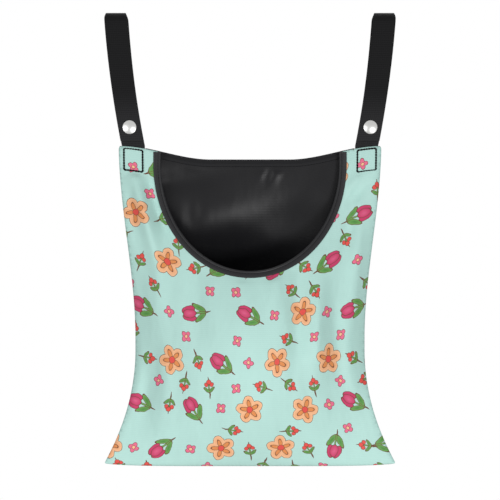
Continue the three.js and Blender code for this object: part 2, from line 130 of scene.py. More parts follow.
class TapeCut(bpy.types.PropertyGroup):
    """Sizes of the folded tapes."""

    width: length("Width", "Visible width of a folded tape", 8.2 * MM)
    thickness: length("Thickness", "Thickness of one leg of the tape", 0.7 * MM)


class StrapCut(bpy.types.PropertyGroup):
    """Sizes of the webbing straps."""

    width: length("Width", "Width of the webbing", 25.4 * MM)
    thickness: length("Thickness", "Thickness of the webbing", 1.6 * MM)
    spread: length("Spread", "Between the straps on the rail", 295 * MM)
    loop: length("Loop radius", "Middle of the webbing round the rail", 11.3 * MM)
    pinch: length("Pinch", "How much narrower the webbing is where it folds over the rail", 3.2 * MM)
    tab: length("Tab", "Sewn end inside the bag", 29.5 * MM)
    knee: length("Knee", "Level at which the two layers start to part", -100 * MM)
    flap_end: length("Flap end", "Level of the flap's free end", FLAP_END)
    seam_margin: length("Seam margin", "Side seam to the edge of the sewn end", 3.5 * MM)
    stitch_inset: length("Stitch inset", "Edge of the webbing to the box of stitching", 2.4 * MM)


class ThreadCut(bpy.types.PropertyGroup):
    """Sizes of the sewing."""

    box_thread: length("Box thread", "Diameter of the thread in the strap boxes", 2.1 * MM)
    box_pitch: length("Box pitch", "Stitch to stitch in the strap boxes", 2.9 * MM)
    fine_thread: length("Fine thread", "Diameter of the topstitching thread", 0.5 * MM)
    hem_thread: length("Hem thread", "Diameter of the thread along the hem", 1.1 * MM)
    fine_pitch: length("Fine pitch", "Stitch to stitch in the topstitching", 3.2 * MM)


class SnapSizes(bpy.types.PropertyGroup):
    """Sizes of the press studs."""

    cap: length("Cap", "Diameter of the cap", 15 * MM)
    cap_rim: length("Cap rim", "Height of the cap's rolled rim", 0.7 * MM)
    cap_crown: length("Cap crown", "Rise of the cap's dome", 1.7 * MM)
    shank: length("Shank", "Diameter of the rivet shank", 3 * MM)
    flange: length("Flange", "Diameter of the stud's flange", 10.5 * MM)
    flange_thickness: length("Flange thickness", "Thickness of the flange", 0.8 * MM)
    knob: length("Knob", "Diameter of the knob", 6 * MM)
    neck: length("Neck", "Diameter of the knob's neck", 5.2 * MM)
    knob_height: length("Knob height", "Height of the knob", 3.4 * MM)
    wire: length("Wire", "Diameter of the spring wire", 0.8 * MM)
    gap: length("Gap", "Clearance between the pieces", 0.3 * MM)


class PrintDesign(bpy.types.PropertyGroup):
    """Repeat and colours of the printed flowers."""

    pitch_across: length("Pitch across", "Repeat of the large flowers across the cloth", 66 * MM)
    pitch_up: length("Pitch up", "Repeat of the large flowers up the cloth", 52 * MM)
    seed: IntProperty(name="Seed", description="Throw of the dice that scatters the flowers", default=4)
    ground: colour("Ground", "Ground of the print", "#B7DED6")
    peach: colour("Peach", "Rim of the blossom's petals", "#F5BF96")
    apricot: colour("Apricot", "Middle of the blossom's petals", "#EAA06A")
    amber: colour("Amber", "Inner half of the blossom's petals", "#E08F55")
    raspberry: colour("Raspberry", "Tulip", "#C73F69")
    rose: colour("Rose", "Lit side of the tulip", "#DD6288")
    coral: colour("Coral", "Berries and the blossom's centre", "#E2544D")
    leaf: colour("Leaf", "Leaves and stems", "#6DA356")
    moss: colour("Moss", "Middle of the leaves", "#4F8743")
    pink: colour("Pink", "Small flowers", "#E9708F")
    outline: colour("Outline", "Drawn lines", "#6A4433")


class BagColours(bpy.types.PropertyGroup):
    """Colours of the plain pieces."""

    reverse: colour("Reverse", "Unprinted inside of the front", "#DCE6E3")
    lining: colour("Lining", "Back panel", "#18181A")
    tape: colour("Tape", "Folded tape round the mouth", "#1E1E20")
    hem: colour("Hem", "Folded tape along the back's top edge", "#1D1D1F")
    webbing: colour("Webbing", "Straps", "#1B1B1C")
    thread: colour("Thread", "Sewing thread", "#0E0E10")
    nickel: colour("Nickel", "Press studs", "#C2C2C0")
    steel: colour("Steel", "Spring wire", "#9A9BA0")
    floor: colour("Floor", "Studio floor", "#E9E9E7")


# Nodes and meshes

MATH, VECTORS, MIX = "ShaderNodeMath", "ShaderNodeVectorMath", "ShaderNodeMix"
RANGE, NOISE, WAVE = "ShaderNodeMapRange", "ShaderNodeTexNoise", "ShaderNodeTexWave"
MERGE = 0.002 * MM  # points nearer than this are one
FINE_STEP = 1 * MM  # between the points of a line that has to be followed closely


def put(tree, kind, inputs=None, **settings):
    """Adds a node, sets its settings, links or sets its inputs, and gives its outputs."""
    node = tree.nodes.new(kind)
    for key, value in settings.items():
        setattr(node, key, value)
    for key, value in (inputs or {}).items():
        if isinstance(value, bpy.types.NodeSocket):
            tree.links.new(value, node.inputs[key])
        else:
            node.inputs[key].default_value = value
    return node.outputs


def blank(name):
    """An empty material of that name, and its tree."""
    material = bpy.data.materials.new(name)
    material.use_nodes = True
    material.node_tree.nodes.clear()
    return material, material.node_tree


def tinted(tree, tone, pattern, low, high, most=1.0):
    """A colour made darker and lighter, by shares from low to high, as a pattern goes from 0 to most."""
    share = put(tree, RANGE, {"Value": pattern, "From Max": most, "To Min": low, "To Max": high})[0]
    return put(tree, "ShaderNodeHueSaturation", {"Color": tone, "Value": share})[0]


def surface(material, inputs, *bumps):
    """Ends a material in the principled shader, with bumps given as a height and its depth in metres."""
    tree = material.node_tree
    for height, depth in bumps:
        relief = {"Strength": 1.0, "Distance": depth, "Height": height}
        if "Normal" in inputs:
            relief["Normal"] = inputs["Normal"]
        inputs["Normal"] = put(tree, "ShaderNodeBump", relief)["Normal"]
    skin = put(tree, "ShaderNodeBsdfPrincipled", inputs)
    put(tree, "ShaderNodeOutputMaterial", {"Surface": skin["BSDF"]})
    return material


def linked(name, data):
    """A new object of the scene with that data."""
    ob = bpy.data.objects.new(name, data)
    bpy.context.scene.collection.objects.link(ob)
    return ob


def build(name, points, faces, uvs=None, materials=(), edges=()):
    """A mesh object from points, faces or edges, and a flat coordinate for each point."""
    mesh = bpy.data.meshes.new(name)
    mesh.from_pydata([tuple(p) for p in points], edges, [tuple(map(int, f)) for f in faces])
    if uvs is not None:
        layer = mesh.uv_layers.new(name="cut")
        corner = np.zeros(len(mesh.loops), int)
        mesh.loops.foreach_get("vertex_index", corner)
        layer.data.foreach_set("uv", np.asarray(uvs, float)[corner].ravel())
    for material in materials:
        mesh.materials.append(material)
    return linked(name, mesh)


def outward(ob, sharp):
    """Merges doubles, turns the faces outwards and shades them smooth below a sharp angle in degrees."""
    work = bmesh.new()
    work.from_mesh(ob.data)
    bmesh.ops.remove_doubles(work, verts=work.verts, dist=MERGE)
    bmesh.ops.recalc_face_normals(work, faces=work.faces)
    work.to_mesh(ob.data)
    work.free()
    ob.data.shade_smooth()
    ob.data.set_sharp_from_angle(angle=math.radians(sharp))
    return ob


def plain(draft, name):
    """Turns a draft with modifiers into a plain mesh object of that name."""
    graph = bpy.context.evaluated_depsgraph_get()
    mesh = bpy.data.meshes.new_from_object(
        draft.evaluated_get(graph), preserve_all_data_layers=True, depsgraph=graph
    )
    mesh.name = name
    old = draft.data
    bpy.data.objects.remove(draft)
    bpy.data.meshes.remove(old)
    return linked(name, mesh)


def loft(name, rings, uvs, material, sharp=50):
    """A closed body through a row of rings of points."""
    rings = np.asarray(rings)
    count, sides = rings.shape[:2]
    index = np.arange(count * sides).reshape(count, sides)
    here, there = index[:-1], index[1:]
    quads = np.stack([here, np.roll(here, -1, 1), np.roll(there, -1, 1), there], axis=-1)
    faces = quads.reshape(-1, 4).tolist() + [index[0][::-1].tolist(), index[-1].tolist()]
    ob = build(name, rings.reshape(-1, 3), faces, np.asarray(uvs).reshape(-1, 2), [material])
    return outward(ob, sharp)


def grid_of(across, along):
    """Flat coordinates of a loft, from those round its rings and those along it."""
    return np.stack(np.broadcast_arrays(across[None], along[:, None]), axis=-1)


def run_along(line):
    """Length along a line of points, from its start to each point."""
    return np.concatenate([[0], np.cumsum(np.linalg.norm(np.diff(line, axis=0), axis=1))])


def spaced(line, step):
    """Points along a line of points, about a step apart, with both ends kept."""
    line = np.asarray(line)
    run = run_along(line)
    at = np.linspace(0, run[-1], max(1, round(run[-1] / step)) + 1)
    return np.stack([np.interp(at, run, line[:, k]) for k in range(line.shape[1])], axis=1)


def rounded(line, span):
    """A line of points with its corners rounded by a running mean over that many points."""
    half = span // 2
    ahead = 2 * line[:1] - line[half:0:-1]
    behind = 2 * line[-1:] - line[-2 : -half - 2 : -1]
    padded = np.concatenate([ahead, line, behind])
    return np.stack([np.convolve(column, np.full(span, 1 / span), "valid") for column in padded.T], axis=1)


def eased(low, high, value):
    """Smooth step from 0 at low to 1 at high."""
    t = np.clip((np.asarray(value) - low) / (high - low), 0, 1)
    return t * t * (3 - 2 * t)


def unit(rows):
    """Rows brought to length one."""
    return rows / np.linalg.norm(rows, axis=-1, keepdims=True)


def fasten(ob, body, node=None):
    """Lets a piece ride on a body, and lets it stand for a node."""
    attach(ob, body)
    if node:
        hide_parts(node)


# Shape of the bag

FLARE_EASE, BELLY_EASE, SAG_EASE = 2.0, 2.2, 6  # powers of the curves
DIP_FLAT = 0.3  # share of the top edge that hangs level
SIDE_LOW, SIDE_HIGH = 0.06, 1.02  # where the sides start and stop to spread between waist and top
EAR_FLAT = 1.2  # how much flatter the panels lie towards the bottom corners
SOLVE_ROUNDS = 12
PROBE = 1 * MM  # step to either side that finds a panel's outward direction
MOUTH_STEPS = 160


def half_width(cut, up):
    """Half the width between the side seams at a share up of the height."""
    rise = np.asarray(up) * cut.height
    flare = np.clip(1 - rise / cut.waist_rise, 0, 1) ** FLARE_EASE
    spread = eased(SIDE_LOW, SIDE_HIGH, (rise - cut.waist_rise) / (cut.height - cut.waist_rise))
    wide = (cut.bottom_width - cut.waist_width) * flare + (cut.top_width - cut.waist_width) * spread
    return (cut.waist_width + wide) / 2


def belly(cut, facing, up):
    """How far a panel stands out halfway across at a share up of the height."""
    most, gape = (cut.front_belly, cut.front_gape) if facing == FRONT else (cut.back_belly, cut.back_gape)
    rise = np.asarray(up) * cut.height
    low = most * (1 - np.clip(1 - rise / cut.waist_rise, 0, 1) ** BELLY_EASE)
    turn = math.pi * np.clip((rise - cut.waist_rise) / (cut.height - cut.waist_rise), 0, 1)
    return np.where(rise < cut.waist_rise, low, gape + (most - gape) * (1 + np.cos(turn)) / 2)


def top_edge(cut, x):
    """Level of the top edge at a place across it."""
    share = np.abs(x) * 2 / cut.top_width
    return BAG_TOP - cut.top_dip * (1 - eased(DIP_FLAT, 1, share))


def bottom_edge(cut, across):
    """Level of the bottom seam at a share across it."""
    return BAG_TOP - cut.height - cut.bottom_sag * (1 - np.asarray(across) ** SAG_EASE)


def panel_point(cut, facing, across, up, offset=0.0):
    """A point of a panel's outer face: across from -1 to 1 between the side seams, up from 0 to 1."""
    across, up = np.broadcast_arrays(np.asarray(across, float), np.asarray(up, float))
    bottom = bottom_edge(cut, across)
    top = top_edge(cut, across * cut.top_width / 2)
    edge = np.minimum((1 - np.abs(across)) * half_width(cut, up), up * cut.height)
    turn = np.clip(edge / cut.seam_turn, 0, 1)
    ear = EAR_FLAT * np.clip(1 - up * cut.height / cut.waist_rise, 0, 1)
    bulge = belly(cut, facing, up) * (1 - across**2) ** (1 + ear)
    stand = cut.stand * np.sqrt(turn * (2 - turn)) + bulge + offset
    return np.stack([across * half_width(cut, up), facing * stand, bottom + up * (top - bottom)], axis=-1)


def panel_place(cut, x, z):
    """The shares across and up of a place in the front view."""
    x, z = np.broadcast_arrays(np.asarray(x, float), np.asarray(z, float))
    across = np.zeros_like(x)
    for _ in range(SOLVE_ROUNDS):
        bottom = bottom_edge(cut, across)
        up = np.clip((z - bottom) / (top_edge(cut, across * cut.top_width / 2) - bottom), 0, 1)
        across = np.clip(x / half_width(cut, up), -1, 1)
    return across, up


def panel_at(cut, facing, x, z, offset=0.0):
    """A point of a panel's outer face at a place in the front view."""
    return panel_point(cut, facing, *panel_place(cut, x, z), offset)


def panel_normal(cut, facing, x, z):
    """Outward direction of a panel at a place in the front view."""
    sideways = panel_at(cut, facing, x + PROBE, z) - panel_at(cut, facing, x - PROBE, z)
    upwards = panel_at(cut, facing, x, z + PROBE) - panel_at(cut, facing, x, z - PROBE)
    normal = unit(np.cross(sideways, upwards))
    return normal * np.sign(normal[..., 1:2] * facing)


def mouth_line(cut):
    """The cut edge of the mouth in the front view, from the top left round to the top right."""
    half, level = cut.mouth_width / 2, BAG_TOP - cut.mouth_straight
    angle = np.linspace(math.pi, 2 * math.pi, MOUTH_STEPS)
    drop = (cut.mouth_depth - cut.mouth_straight) * np.sin(angle)
    bow = np.stack([half * np.cos(angle), level + drop], 1)
    rim = float(top_edge(cut, half))
    return np.concatenate([[[-half, rim]], bow, [[half, rim]]])


# Cloth panels

PATTERN_ROWS, PATTERN_COLUMNS = 161, 81
SIDE_STEPS, CORNER_STEPS = 200, 40  # points along a side of the cut, and along the top beside the mouth
GRID_CLEAR = 0.55  # least distance of a grid point from the outline, in grains
BATCH = 200  # points of a line that are measured at once
KEEP_INSIDE, CLOSE = 1, 1e-7  # triangles inside the outline only, and how near points are one

# Soft folds that the hanging cloth shows, listed as x, z, half width, half length and rise in
# millimetres, and lean in degrees
FRONT_FOLDS = (
    (-115, -212, 8, 52, 12.0, 15),
    (-99, -199, 7, 36, -7.0, 17),
    (-103, -304, 11, 45, 3.6, 4),
    (-58, -304, 11, 46, -4.6, 5),
    (-8, -314, 15, 44, 3.6, 0),
    (51, -322, 9, 56, -6.4, -2),
    (74, -330, 8, 50, 6.0, -2),
    (93, -345, 8, 46, -6.0, 2),
    (117, -268, 8, 64, 6.0, -5),
    (113, -386, 9, 28, 3.6, 6),
    (107, -232, 6, 30, -3.4, -10),
    (26, -288, 9, 26, 3.6, 0),
    (-126, -404, 6, 30, 1.6, -12),
    (-113, -404, 8, 38, -2.6, -8),
    (-92, -404, 10, 42, 4.4, -4),
    (-40, -420, 13, 36, -3.2, 4),
    (20, -420, 13, 34, 3.0, -3),
    (-137, -165, 3, 8, -1.4, 75),
    (110, -179, 5, 16, 3.2, -42),
    (119, -186, 5, 16, -2.8, -42),
)
BACK_FOLDS = (
    (-46, -216, 64, 30, -8.0, 8),
    (-92, -175, 50, 11, 3.4, 10),
    (-64, -206, 9, 18, 2.0, 0),
    (14, -163, 4, 10, -1.0, -16),
    (21, -163, 4, 12, 1.5, -24),
    (29, -165, 4, 12, -1.3, -34),
    (40, -215, 34, 20, 2.6, 12),
    (86, -194, 22, 22, -3.0, -8),
    (-84, -238, 13, 36, 3.0, 24),
    (5, -262, 20, 44, 3.4, 80),
    (20, -352, 11, 58, -5.0, 4),
    (44, -346, 10, 50, 4.4, 2),
    (-40, -356, 10, 54, 5.0, -4),
    (-64, -352, 10, 46, -4.2, -6),
    (84, -372, 10, 42, 4.6, 8),
    (-96, -384, 10, 40, -4.6, -6),
    (104, -400, 9, 34, -3.8, 10),
    (-112, -398, 8, 34, 3.8, -9),
)


def folded(points, facing, folds):
    """Adds the soft folds to a panel's points, as ridges along its facing."""
    x, z = points[:, 0] / MM, points[:, 2] / MM
    rise = np.zeros(len(points))
    for at_x, at_z, wide, tall, most, lean in folds:
        turn = math.radians(lean)
        u = (x - at_x) * math.cos(turn) + (z - at_z) * math.sin(turn)
        v = (z - at_z) * math.cos(turn) - (x - at_x) * math.sin(turn)
        rise += most * np.exp(-((u / wide) ** 2) - (v / tall) ** 2)
    moved = points.copy()
    moved[:, 1] += facing * rise * MM
    return moved


def within(points, loop):
    """Which flat points lie inside a closed outline."""
    x, y = points[:, :1], points[:, 1:]
    x0, y0 = loop.T
    x1, y1 = np.roll(loop, -1, axis=0).T
    level = np.where(y1 == y0, 1, y1 - y0)
    crossed = ((y0 > y) != (y1 > y)) & (x < x0 + (y - y0) * (x1 - x0) / level)
    return crossed.sum(axis=1) % 2 == 1


def reach(points, line):
    """Distance of each point from the nearest point of a line."""
    fine = spaced(line, FINE_STEP)
    best = np.full(len(points), np.inf)
    for start in range(0, len(fine), BATCH):
        part = fine[start : start + BATCH]
        best = np.minimum(best, np.linalg.norm(points[:, None] - part[None], axis=2).min(axis=1))
    return best


class Pattern:
    """The flat cut of a panel and the way from the flat cloth to its place on the bag."""

    def __init__(self, cut, facing):
        self.cut, self.facing = cut, facing
        self.up = np.linspace(0, 1, PATTERN_ROWS)
        grid = panel_point(cut, facing, np.linspace(0, 1, PATTERN_COLUMNS)[None], self.up[:, None])
        arc_length = np.linalg.norm(np.diff(grid, axis=1), axis=2).sum(axis=1)
        self.half = arc_length * (1 + cut.ease)
        self.rise = run_along(grid[:, PATTERN_COLUMNS // 2])

    def flat(self, across, up):
        """Flat places of shares across and up."""
        return np.stack([across * np.interp(up, self.up, self.half), np.interp(up, self.up, self.rise)], 1)

    def shares(self, flat):
        """Shares across and up of flat places."""
        up = np.interp(flat[:, 1], self.rise, self.up)
        return np.clip(flat[:, 0] / np.interp(up, self.up, self.half), -1, 1), up

    def outline(self):
        """Named lines of the cut, in order round it."""
        fall, along = np.linspace(1, 0, SIDE_STEPS), np.linspace(-1, 1, SIDE_STEPS)
        whole, corner = np.ones(SIDE_STEPS), np.ones(CORNER_STEPS)
        lines = {
            "left": self.flat(-whole, fall),
            "bottom": self.flat(along, 0 * whole),
            "right": self.flat(whole, fall[::-1]),
        }
        if self.facing == BACK:
            lines["top"] = self.flat(-along, whole)
            return lines
        across, up = panel_place(self.cut, *mouth_line(self.cut)[::-1].T)
        lines["right_top"] = self.flat(np.linspace(1, across[0], CORNER_STEPS), corner)
        lines["mouth"] = self.flat(across, up)
        lines["left_top"] = self.flat(np.linspace(across[-1], -1, CORNER_STEPS), corner)
        return lines

    def mesh(self):
        """Flat points and triangles of the cut, on an even grid of equal triangles."""
        grain = self.cut.grain
        lines = self.outline()
        loop = np.concatenate([spaced(line, grain)[:-1] for line in lines.values()])
        low, high = loop.min(axis=0), loop.max(axis=0)
        rows = []
        for i, y in enumerate(np.arange(low[1], high[1], grain * math.sqrt(0.75))):
            x = np.arange(low[0] + (i % 2) * grain / 2, high[0], grain)
            rows.append(np.stack([x, np.full(len(x), y)], 1))
        grid = np.concatenate(rows)
        grid = grid[within(grid, loop)]
        grid = grid[reach(grid, np.concatenate([loop, loop[:1]])) > GRID_CLEAR * grain]
        ring = [(i, (i + 1) % len(loop)) for i in range(len(loop))]
        places = [Vector(p) for p in np.concatenate([loop, grid])]
        points, _, faces, *_ = delaunay_2d_cdt(places, ring, [], KEEP_INSIDE, CLOSE)
        return np.array([tuple(p) for p in points]), np.array(faces), lines


PIN_SOFT = 0.45  # pull of the open cloth towards its hung shape; the solver takes its fourth power
SETTLE_FRAMES, SETTLE_GRAVITY = 45, 0.3
CLOTH_MAKE = {
    "pin_stiffness": 1.0,
    "quality": 8,
    "mass": 0.2,
    "tension_stiffness": 20,
    "compression_stiffness": 20,
    "shear_stiffness": 8,
    "bending_stiffness": 1.2,
    "tension_damping": 10,
    "compression_damping": 10,
    "air_damping": 4,
}
SEAM_EASE, EDGE_EASE = 9 * MM, 6 * MM  # width over which folds start beside a seam and beside a held edge
# Width of cloth that is held along each open edge
EDGE_HOLDS = {"mouth": 8 * MM, "right_top": 3 * MM, "left_top": 3 * MM, "top": 9 * MM}
BOX_HOLD = 0.95  # share of a strap's width in which its box of stitching holds the cloth
SEAM_PIN = 1 * MM  # cloth nearer than this to a seam is sewn fast
SEAM_THIN, THINNEST = 4 * MM, 0.1  # width over which cloth thins towards a seam, and the share left there


def weigh(ob, name, weights):
    """Gives each point of a mesh its weight in a new vertex group."""
    group = ob.vertex_groups.new(name=name)
    for i, weight in enumerate(weights):
        group.add([i], float(weight), "REPLACE")


def settle(ob, flat, pins):
    """Lets a sewn panel find its folds: its threads keep the lengths of the flat cut."""
    ob.shape_key_add(name="hung")
    cut_key = ob.shape_key_add(name="flat cut")
    cut_key.data.foreach_set("co", np.column_stack([flat, np.zeros(len(flat))]).ravel())
    weigh(ob, "sewn", pins)
    cloth = ob.modifiers.new("settle", "CLOTH")
    cloth.settings.rest_shape_key = cut_key
    cloth.settings.vertex_group_mass = "sewn"
    for key, value in CLOTH_MAKE.items():
        setattr(cloth.settings, key, value)
    cloth.settings.effector_weights.gravity = SETTLE_GRAVITY
    cloth.collision_settings.use_collision = False
    cloth.collision_settings.use_self_collision = False
    cloth.point_cache.frame_start, cloth.point_cache.frame_end = 1, SETTLE_FRAMES
    scene = bpy.context.scene
    for step in range(1, SETTLE_FRAMES + 1):
        scene.frame_set(step)
    settled = plain(ob, ob.name + "_settled")
    scene.frame_set(1)
    return settled


def held_cloth(cut, strap, flat, hung, lines):
    """How far each point is from a seam, 0 along held edges, how freely it folds, and its pin."""
    sewn = reach(flat, np.concatenate([lines["left"], lines["bottom"], lines["right"]]))
    loose = eased(0, SEAM_EASE, sewn)
    for key, hold in EDGE_HOLDS.items():
        if key in lines:
            away = reach(flat, lines[key])
            loose = np.minimum(loose, eased(hold, hold + EDGE_EASE, away))
            sewn = np.where(away < hold, 0, sewn)
    box = np.abs(np.abs(hung[:, 0]) - tab_centre(cut, strap, hung[:, 2])) / (strap.width / 2)
    drop = (top_edge(cut, hung[:, 0]) - hung[:, 2]) / strap.tab
    boxed = (box < BOX_HOLD) & (drop < 1)
    loose[boxed] = 0
    return sewn, loose, np.where((sewn < SEAM_PIN) | boxed, 1.0, PIN_SOFT)


def faced(ob, facing):
    """Turns all the faces of an open sheet the way its panel faces."""
    work = bmesh.new()
    work.from_mesh(ob.data)
    bmesh.ops.recalc_face_normals(work, faces=work.faces)
    if sum(face.normal.y for face in work.faces) * facing < 0:
        bmesh.ops.reverse_faces(work, faces=work.faces)
    work.to_mesh(ob.data)
    work.free()


def sewn_panel(name, cut, strap, facing, folds, materials):
    """A panel of cloth, cut flat, hung on its seams and settled, as a thin closed shell."""
    pattern = Pattern(cut, facing)
    flat, faces, lines = pattern.mesh()
    across, up = pattern.shares(flat)
    hung = panel_point(cut, facing, across, up)
    if facing == BACK:
        hung[:, 0] *= 1 - cut.seam_roll / (cut.bottom_width / 2)
        hung[:, 2] += cut.seam_roll * (1 - up)
    sewn, loose, pins = held_cloth(cut, strap, flat, hung, lines)
    shaped = hung + (folded(hung, facing, folds) - hung) * loose[:, None]
    draft = build(name + "_draft", shaped, faces, flat, materials)
    faced(draft, facing)
    draft = settle(draft, flat, pins)
    weigh(draft, "edge", np.where(sewn > 0, np.clip(sewn / SEAM_THIN, THINNEST, 1), 1))
    finer = draft.modifiers.new("finer", "SUBSURF")
    finer.levels = finer.render_levels = 1
    finer.boundary_smooth = "ALL"
    wall = draft.modifiers.new("cloth", "SOLIDIFY")
    wall.thickness = cut.cloth
    wall.offset = -1
    wall.vertex_group = "edge"
    wall.material_offset = 1
    ob = plain(draft, name)
    ob.data.shade_smooth()
    a, b, c = (flat[faces[:, k]] for k in range(3))
    area = abs(np.cross(b - a, c - a)).sum() / 2
    return ob, flat.max(axis=0) - flat.min(axis=0), float(area)


# Straps

TAB_LEAN = 0.3  # share of the side seam's lean that the sewn end takes
FACE_POINTS = 9  # points across a face of the webbing
SELVEDGE = (60, 30, 0, -30, -60)  # points round a selvedge, in degrees
PINCH_LOW, PINCH_HIGH = 3 * MM, 12 * MM  # levels between which the webbing narrows round the rail
END_THIN, END_EASE = 0.75, 0.5 * MM  # share of the thickness at a cut end, and how soon it is whole
ARC_STEP = 5  # degrees
LOOP_JOIN = 40  # degrees up the rear of the loop, where the flap's own stretch begins
RUN_LAP, TAB_GAP = 12 * MM, 0.2 * MM  # rear layer below the fold line, and from there to the sewn end
LAP_STEPS, BEND_STEPS, HANG_STEPS, TAB_STEPS = 24, 34, 14, 16


def run_centre(cut, strap, z):
    """Middle of a strap above the fold line, as it leans in from the rail to the bag."""
    top = strap.loop + strap.thickness / 2
    down = (top - np.asarray(z)) / (top - FOLD_LEVEL)
    lean = (down + down * down) / 2
    foot = cut.top_width / 2 - strap.seam_margin - strap.width / 2
    return strap.spread / 2 + (foot - strap.spread / 2) * np.clip(lean, 0, None)


def tab_centre(cut, strap, z):
    """Middle of the sewn end, which leans in a little as the side seam does."""
    up = (np.asarray(z) - (BAG_TOP - cut.height)) / cut.height
    seam = half_width(cut, np.clip(up, 0, 1))
    return cut.top_width / 2 + TAB_LEAN * (seam - cut.top_width / 2) - strap.seam_margin - strap.width / 2


def rear_centre(cut, strap, z):
    """Middle of the rear layer, which joins the sewn end below the fold line."""
    return run_centre(cut, strap, z) if z > FOLD_LEVEL else float(tab_centre(cut, strap, z))


def webbing_section(width, thickness):
    """Points round the section of a band with rounded selvedges."""
    round_end = thickness / 2
    flat_part = np.linspace(-1, 1, FACE_POINTS) * (width / 2 - round_end)
    turn = np.radians(SELVEDGE)
    right = np.stack([width / 2 - round_end + round_end * np.cos(turn), round_end * np.sin(turn)], 1)
    top = np.stack([flat_part, np.full(FACE_POINTS, round_end)], 1)
    return np.concatenate([top, right, -top, -right])


def band(name, path, centre, cut, strap, material, side):
    """Webbing along a path of (y, z), with its width along X and its middle where centre says."""
    run = run_along(path)
    from_low_end = run if path[0, 1] < path[-1, 1] else run[-1] - run
    along = unit(np.gradient(path, axis=0))
    rings, uvs = [], []
    for i, (y, z) in enumerate(path):
        wide = strap.width - strap.pinch * eased(PINCH_LOW, PINCH_HIGH, z) ** 2
        trim = END_THIN + (1 - END_THIN) * min(1, min(run[i], run[-1] - run[i]) / END_EASE)
        u, v = webbing_section(wide, strap.thickness * trim).T
        x = side * centre(cut, strap, z) + u
        rings.append(np.stack([x, y - along[i, 1] * v, z + along[i, 0] * v], 1))
        uvs.append(np.stack([u, np.full(len(u), from_low_end[i])], 1))
    return loft(name, rings, uvs, material)


def arc(strap, start, end):
    """Path round the rail between two angles, from the rear over the top to the front."""
    angle = np.radians(np.linspace(start, end, 2 + int(abs(end - start) / ARC_STEP)))
    return np.stack([strap.loop * np.cos(angle), strap.loop * np.sin(angle)], 1)


def straight(y, low, high, steps):
    """Upright path at one y between two levels."""
    return np.stack([np.full(steps, y), np.linspace(low, high, steps)], 1)


def run_path(strap):
    """Path of the rear layer, from just below the fold line up to the rear of the loop."""
    rise = np.linspace(strap.knee, 0, BEND_STEPS)[1:-1]
    bend = np.stack([strap.loop * eased(strap.knee, 0, rise), rise], 1)
    lap = straight(0, FOLD_LEVEL - RUN_LAP, strap.knee, LAP_STEPS)
    return np.concatenate([lap, bend, arc(strap, 0, LOOP_JOIN)])


def flap_path(strap, face):
    """Path of the front layer, from the rear of the loop over the rail and down to its free end."""
    fall = np.linspace(0, strap.knee, BEND_STEPS)[1:]
    bend = -strap.loop + (strap.loop + face) * (1 - eased(strap.knee, 0, fall))
    hang = straight(face, strap.knee, strap.flap_end, HANG_STEPS)[1:]
    return np.concatenate([arc(strap, LOOP_JOIN, 180), np.stack([bend, fall], 1), hang])


# Tapes

# Face of a folded tape, from the fold to the free edge (mm): a bead, the stitched groove, the flat part
TAPE_FACE = ((0, 0.5), (0.6, 0.6), (1.2, 0.42), (1.7, 0), (2.1, -0.12), (2.5, 0.06), (3.2, 0.3), (4.4, 0.4))
TAPE_LIP = (0.25, 0, -0.3)  # lift of the last three points, towards the free edge (mm)
TAPE_GROOVE, HEM_ROW = 2.1 * MM, 6.4 * MM  # rows of stitches from the fold, on the mouth and on the hem
TAPE_EDGE, TAPE_PLAY = 0.3 * MM, 0.05 * MM  # half the lip's length, and clearance to the cloth
NOSE_TURN, NOSE_POINTS = 75, 9  # degrees to either side of the fold, and points round it
MOUTH_STEP, HEM_STEPS = 3 * MM, 120
HEM_GAP = 0.3 * MM  # end of the hem's tape to the sewn end of a strap
SEAM_ALLOWANCE, SEAM_INSET = 2.6 * MM, 1.3 * MM  # width of the turned-in edges, and seam line to them
SEAM_ROUND = 21  # points over which the seam's corners are rounded
SEAM_SIDE_STEPS, SEAM_FOOT_STEPS = 140, 120
# Section of the turned-in seam: share of the allowance, and half of the thickness (mm)
SEAM_SECTION = ((0, -0.3), (0, 0.3), (0.5, 0.42), (0.95, 0.42), (1, 0), (0.95, -0.42), (0.5, -0.42))


def tape_section(cut, tape):
    """Section of a folded tape: u beyond the cut edge, v out from the middle of the cloth."""
    leg = tape.width - tape.thickness - cut.cloth / 2
    inside = cut.cloth / 2 + TAPE_PLAY
    outside = inside + tape.thickness
    back, lift = np.array(TAPE_FACE).T * MM
    u = np.concatenate([back, [leg - 2 * TAPE_EDGE, leg - TAPE_EDGE / 3, leg]])
    v = outside + np.concatenate([lift, np.array(TAPE_LIP) * MM])
    face = np.stack([-u, v], 1)[::-1]
    roll = np.radians(np.linspace(NOSE_TURN, -NOSE_TURN, NOSE_POINTS))
    nose = np.stack([outside * np.cos(roll), v[0] * np.sin(roll)], 1)
    rear = face[::-1] * (1, -1)
    inner = np.array([[-leg, -inside], [0, -inside], [inside, 0], [0, inside], [-leg, inside]])
    return np.concatenate([face, nose, rear, inner])


def edge_frames(cut, facing, line):
    """Seat, way beyond the edge and outward way along an edge of a panel, in the front view."""
    x, z = line.T
    normal = panel_normal(cut, facing, x, z)
    seat = panel_at(cut, facing, x, z) - normal * cut.cloth / 2
    along = unit(np.gradient(seat, axis=0))
    beyond = unit(np.cross(along, normal))
    towards_rail = np.stack([-x, 0 * x, -z], 1)
    beyond *= np.sign((beyond * towards_rail).sum(axis=1))[:, None]
    return seat, beyond, normal


def edge_tape(name, cut, tape, facing, line, material):
    """A tape folded over an edge of a panel."""
    seat, beyond, normal = edge_frames(cut, facing, line)
    section = tape_section(cut, tape)
    rings = seat[:, None] + beyond[:, None] * section[None, :, :1] + normal[:, None] * section[None, :, 1:]
    return loft(name, rings, grid_of(run_along(section), run_along(seat)), material, sharp=60)


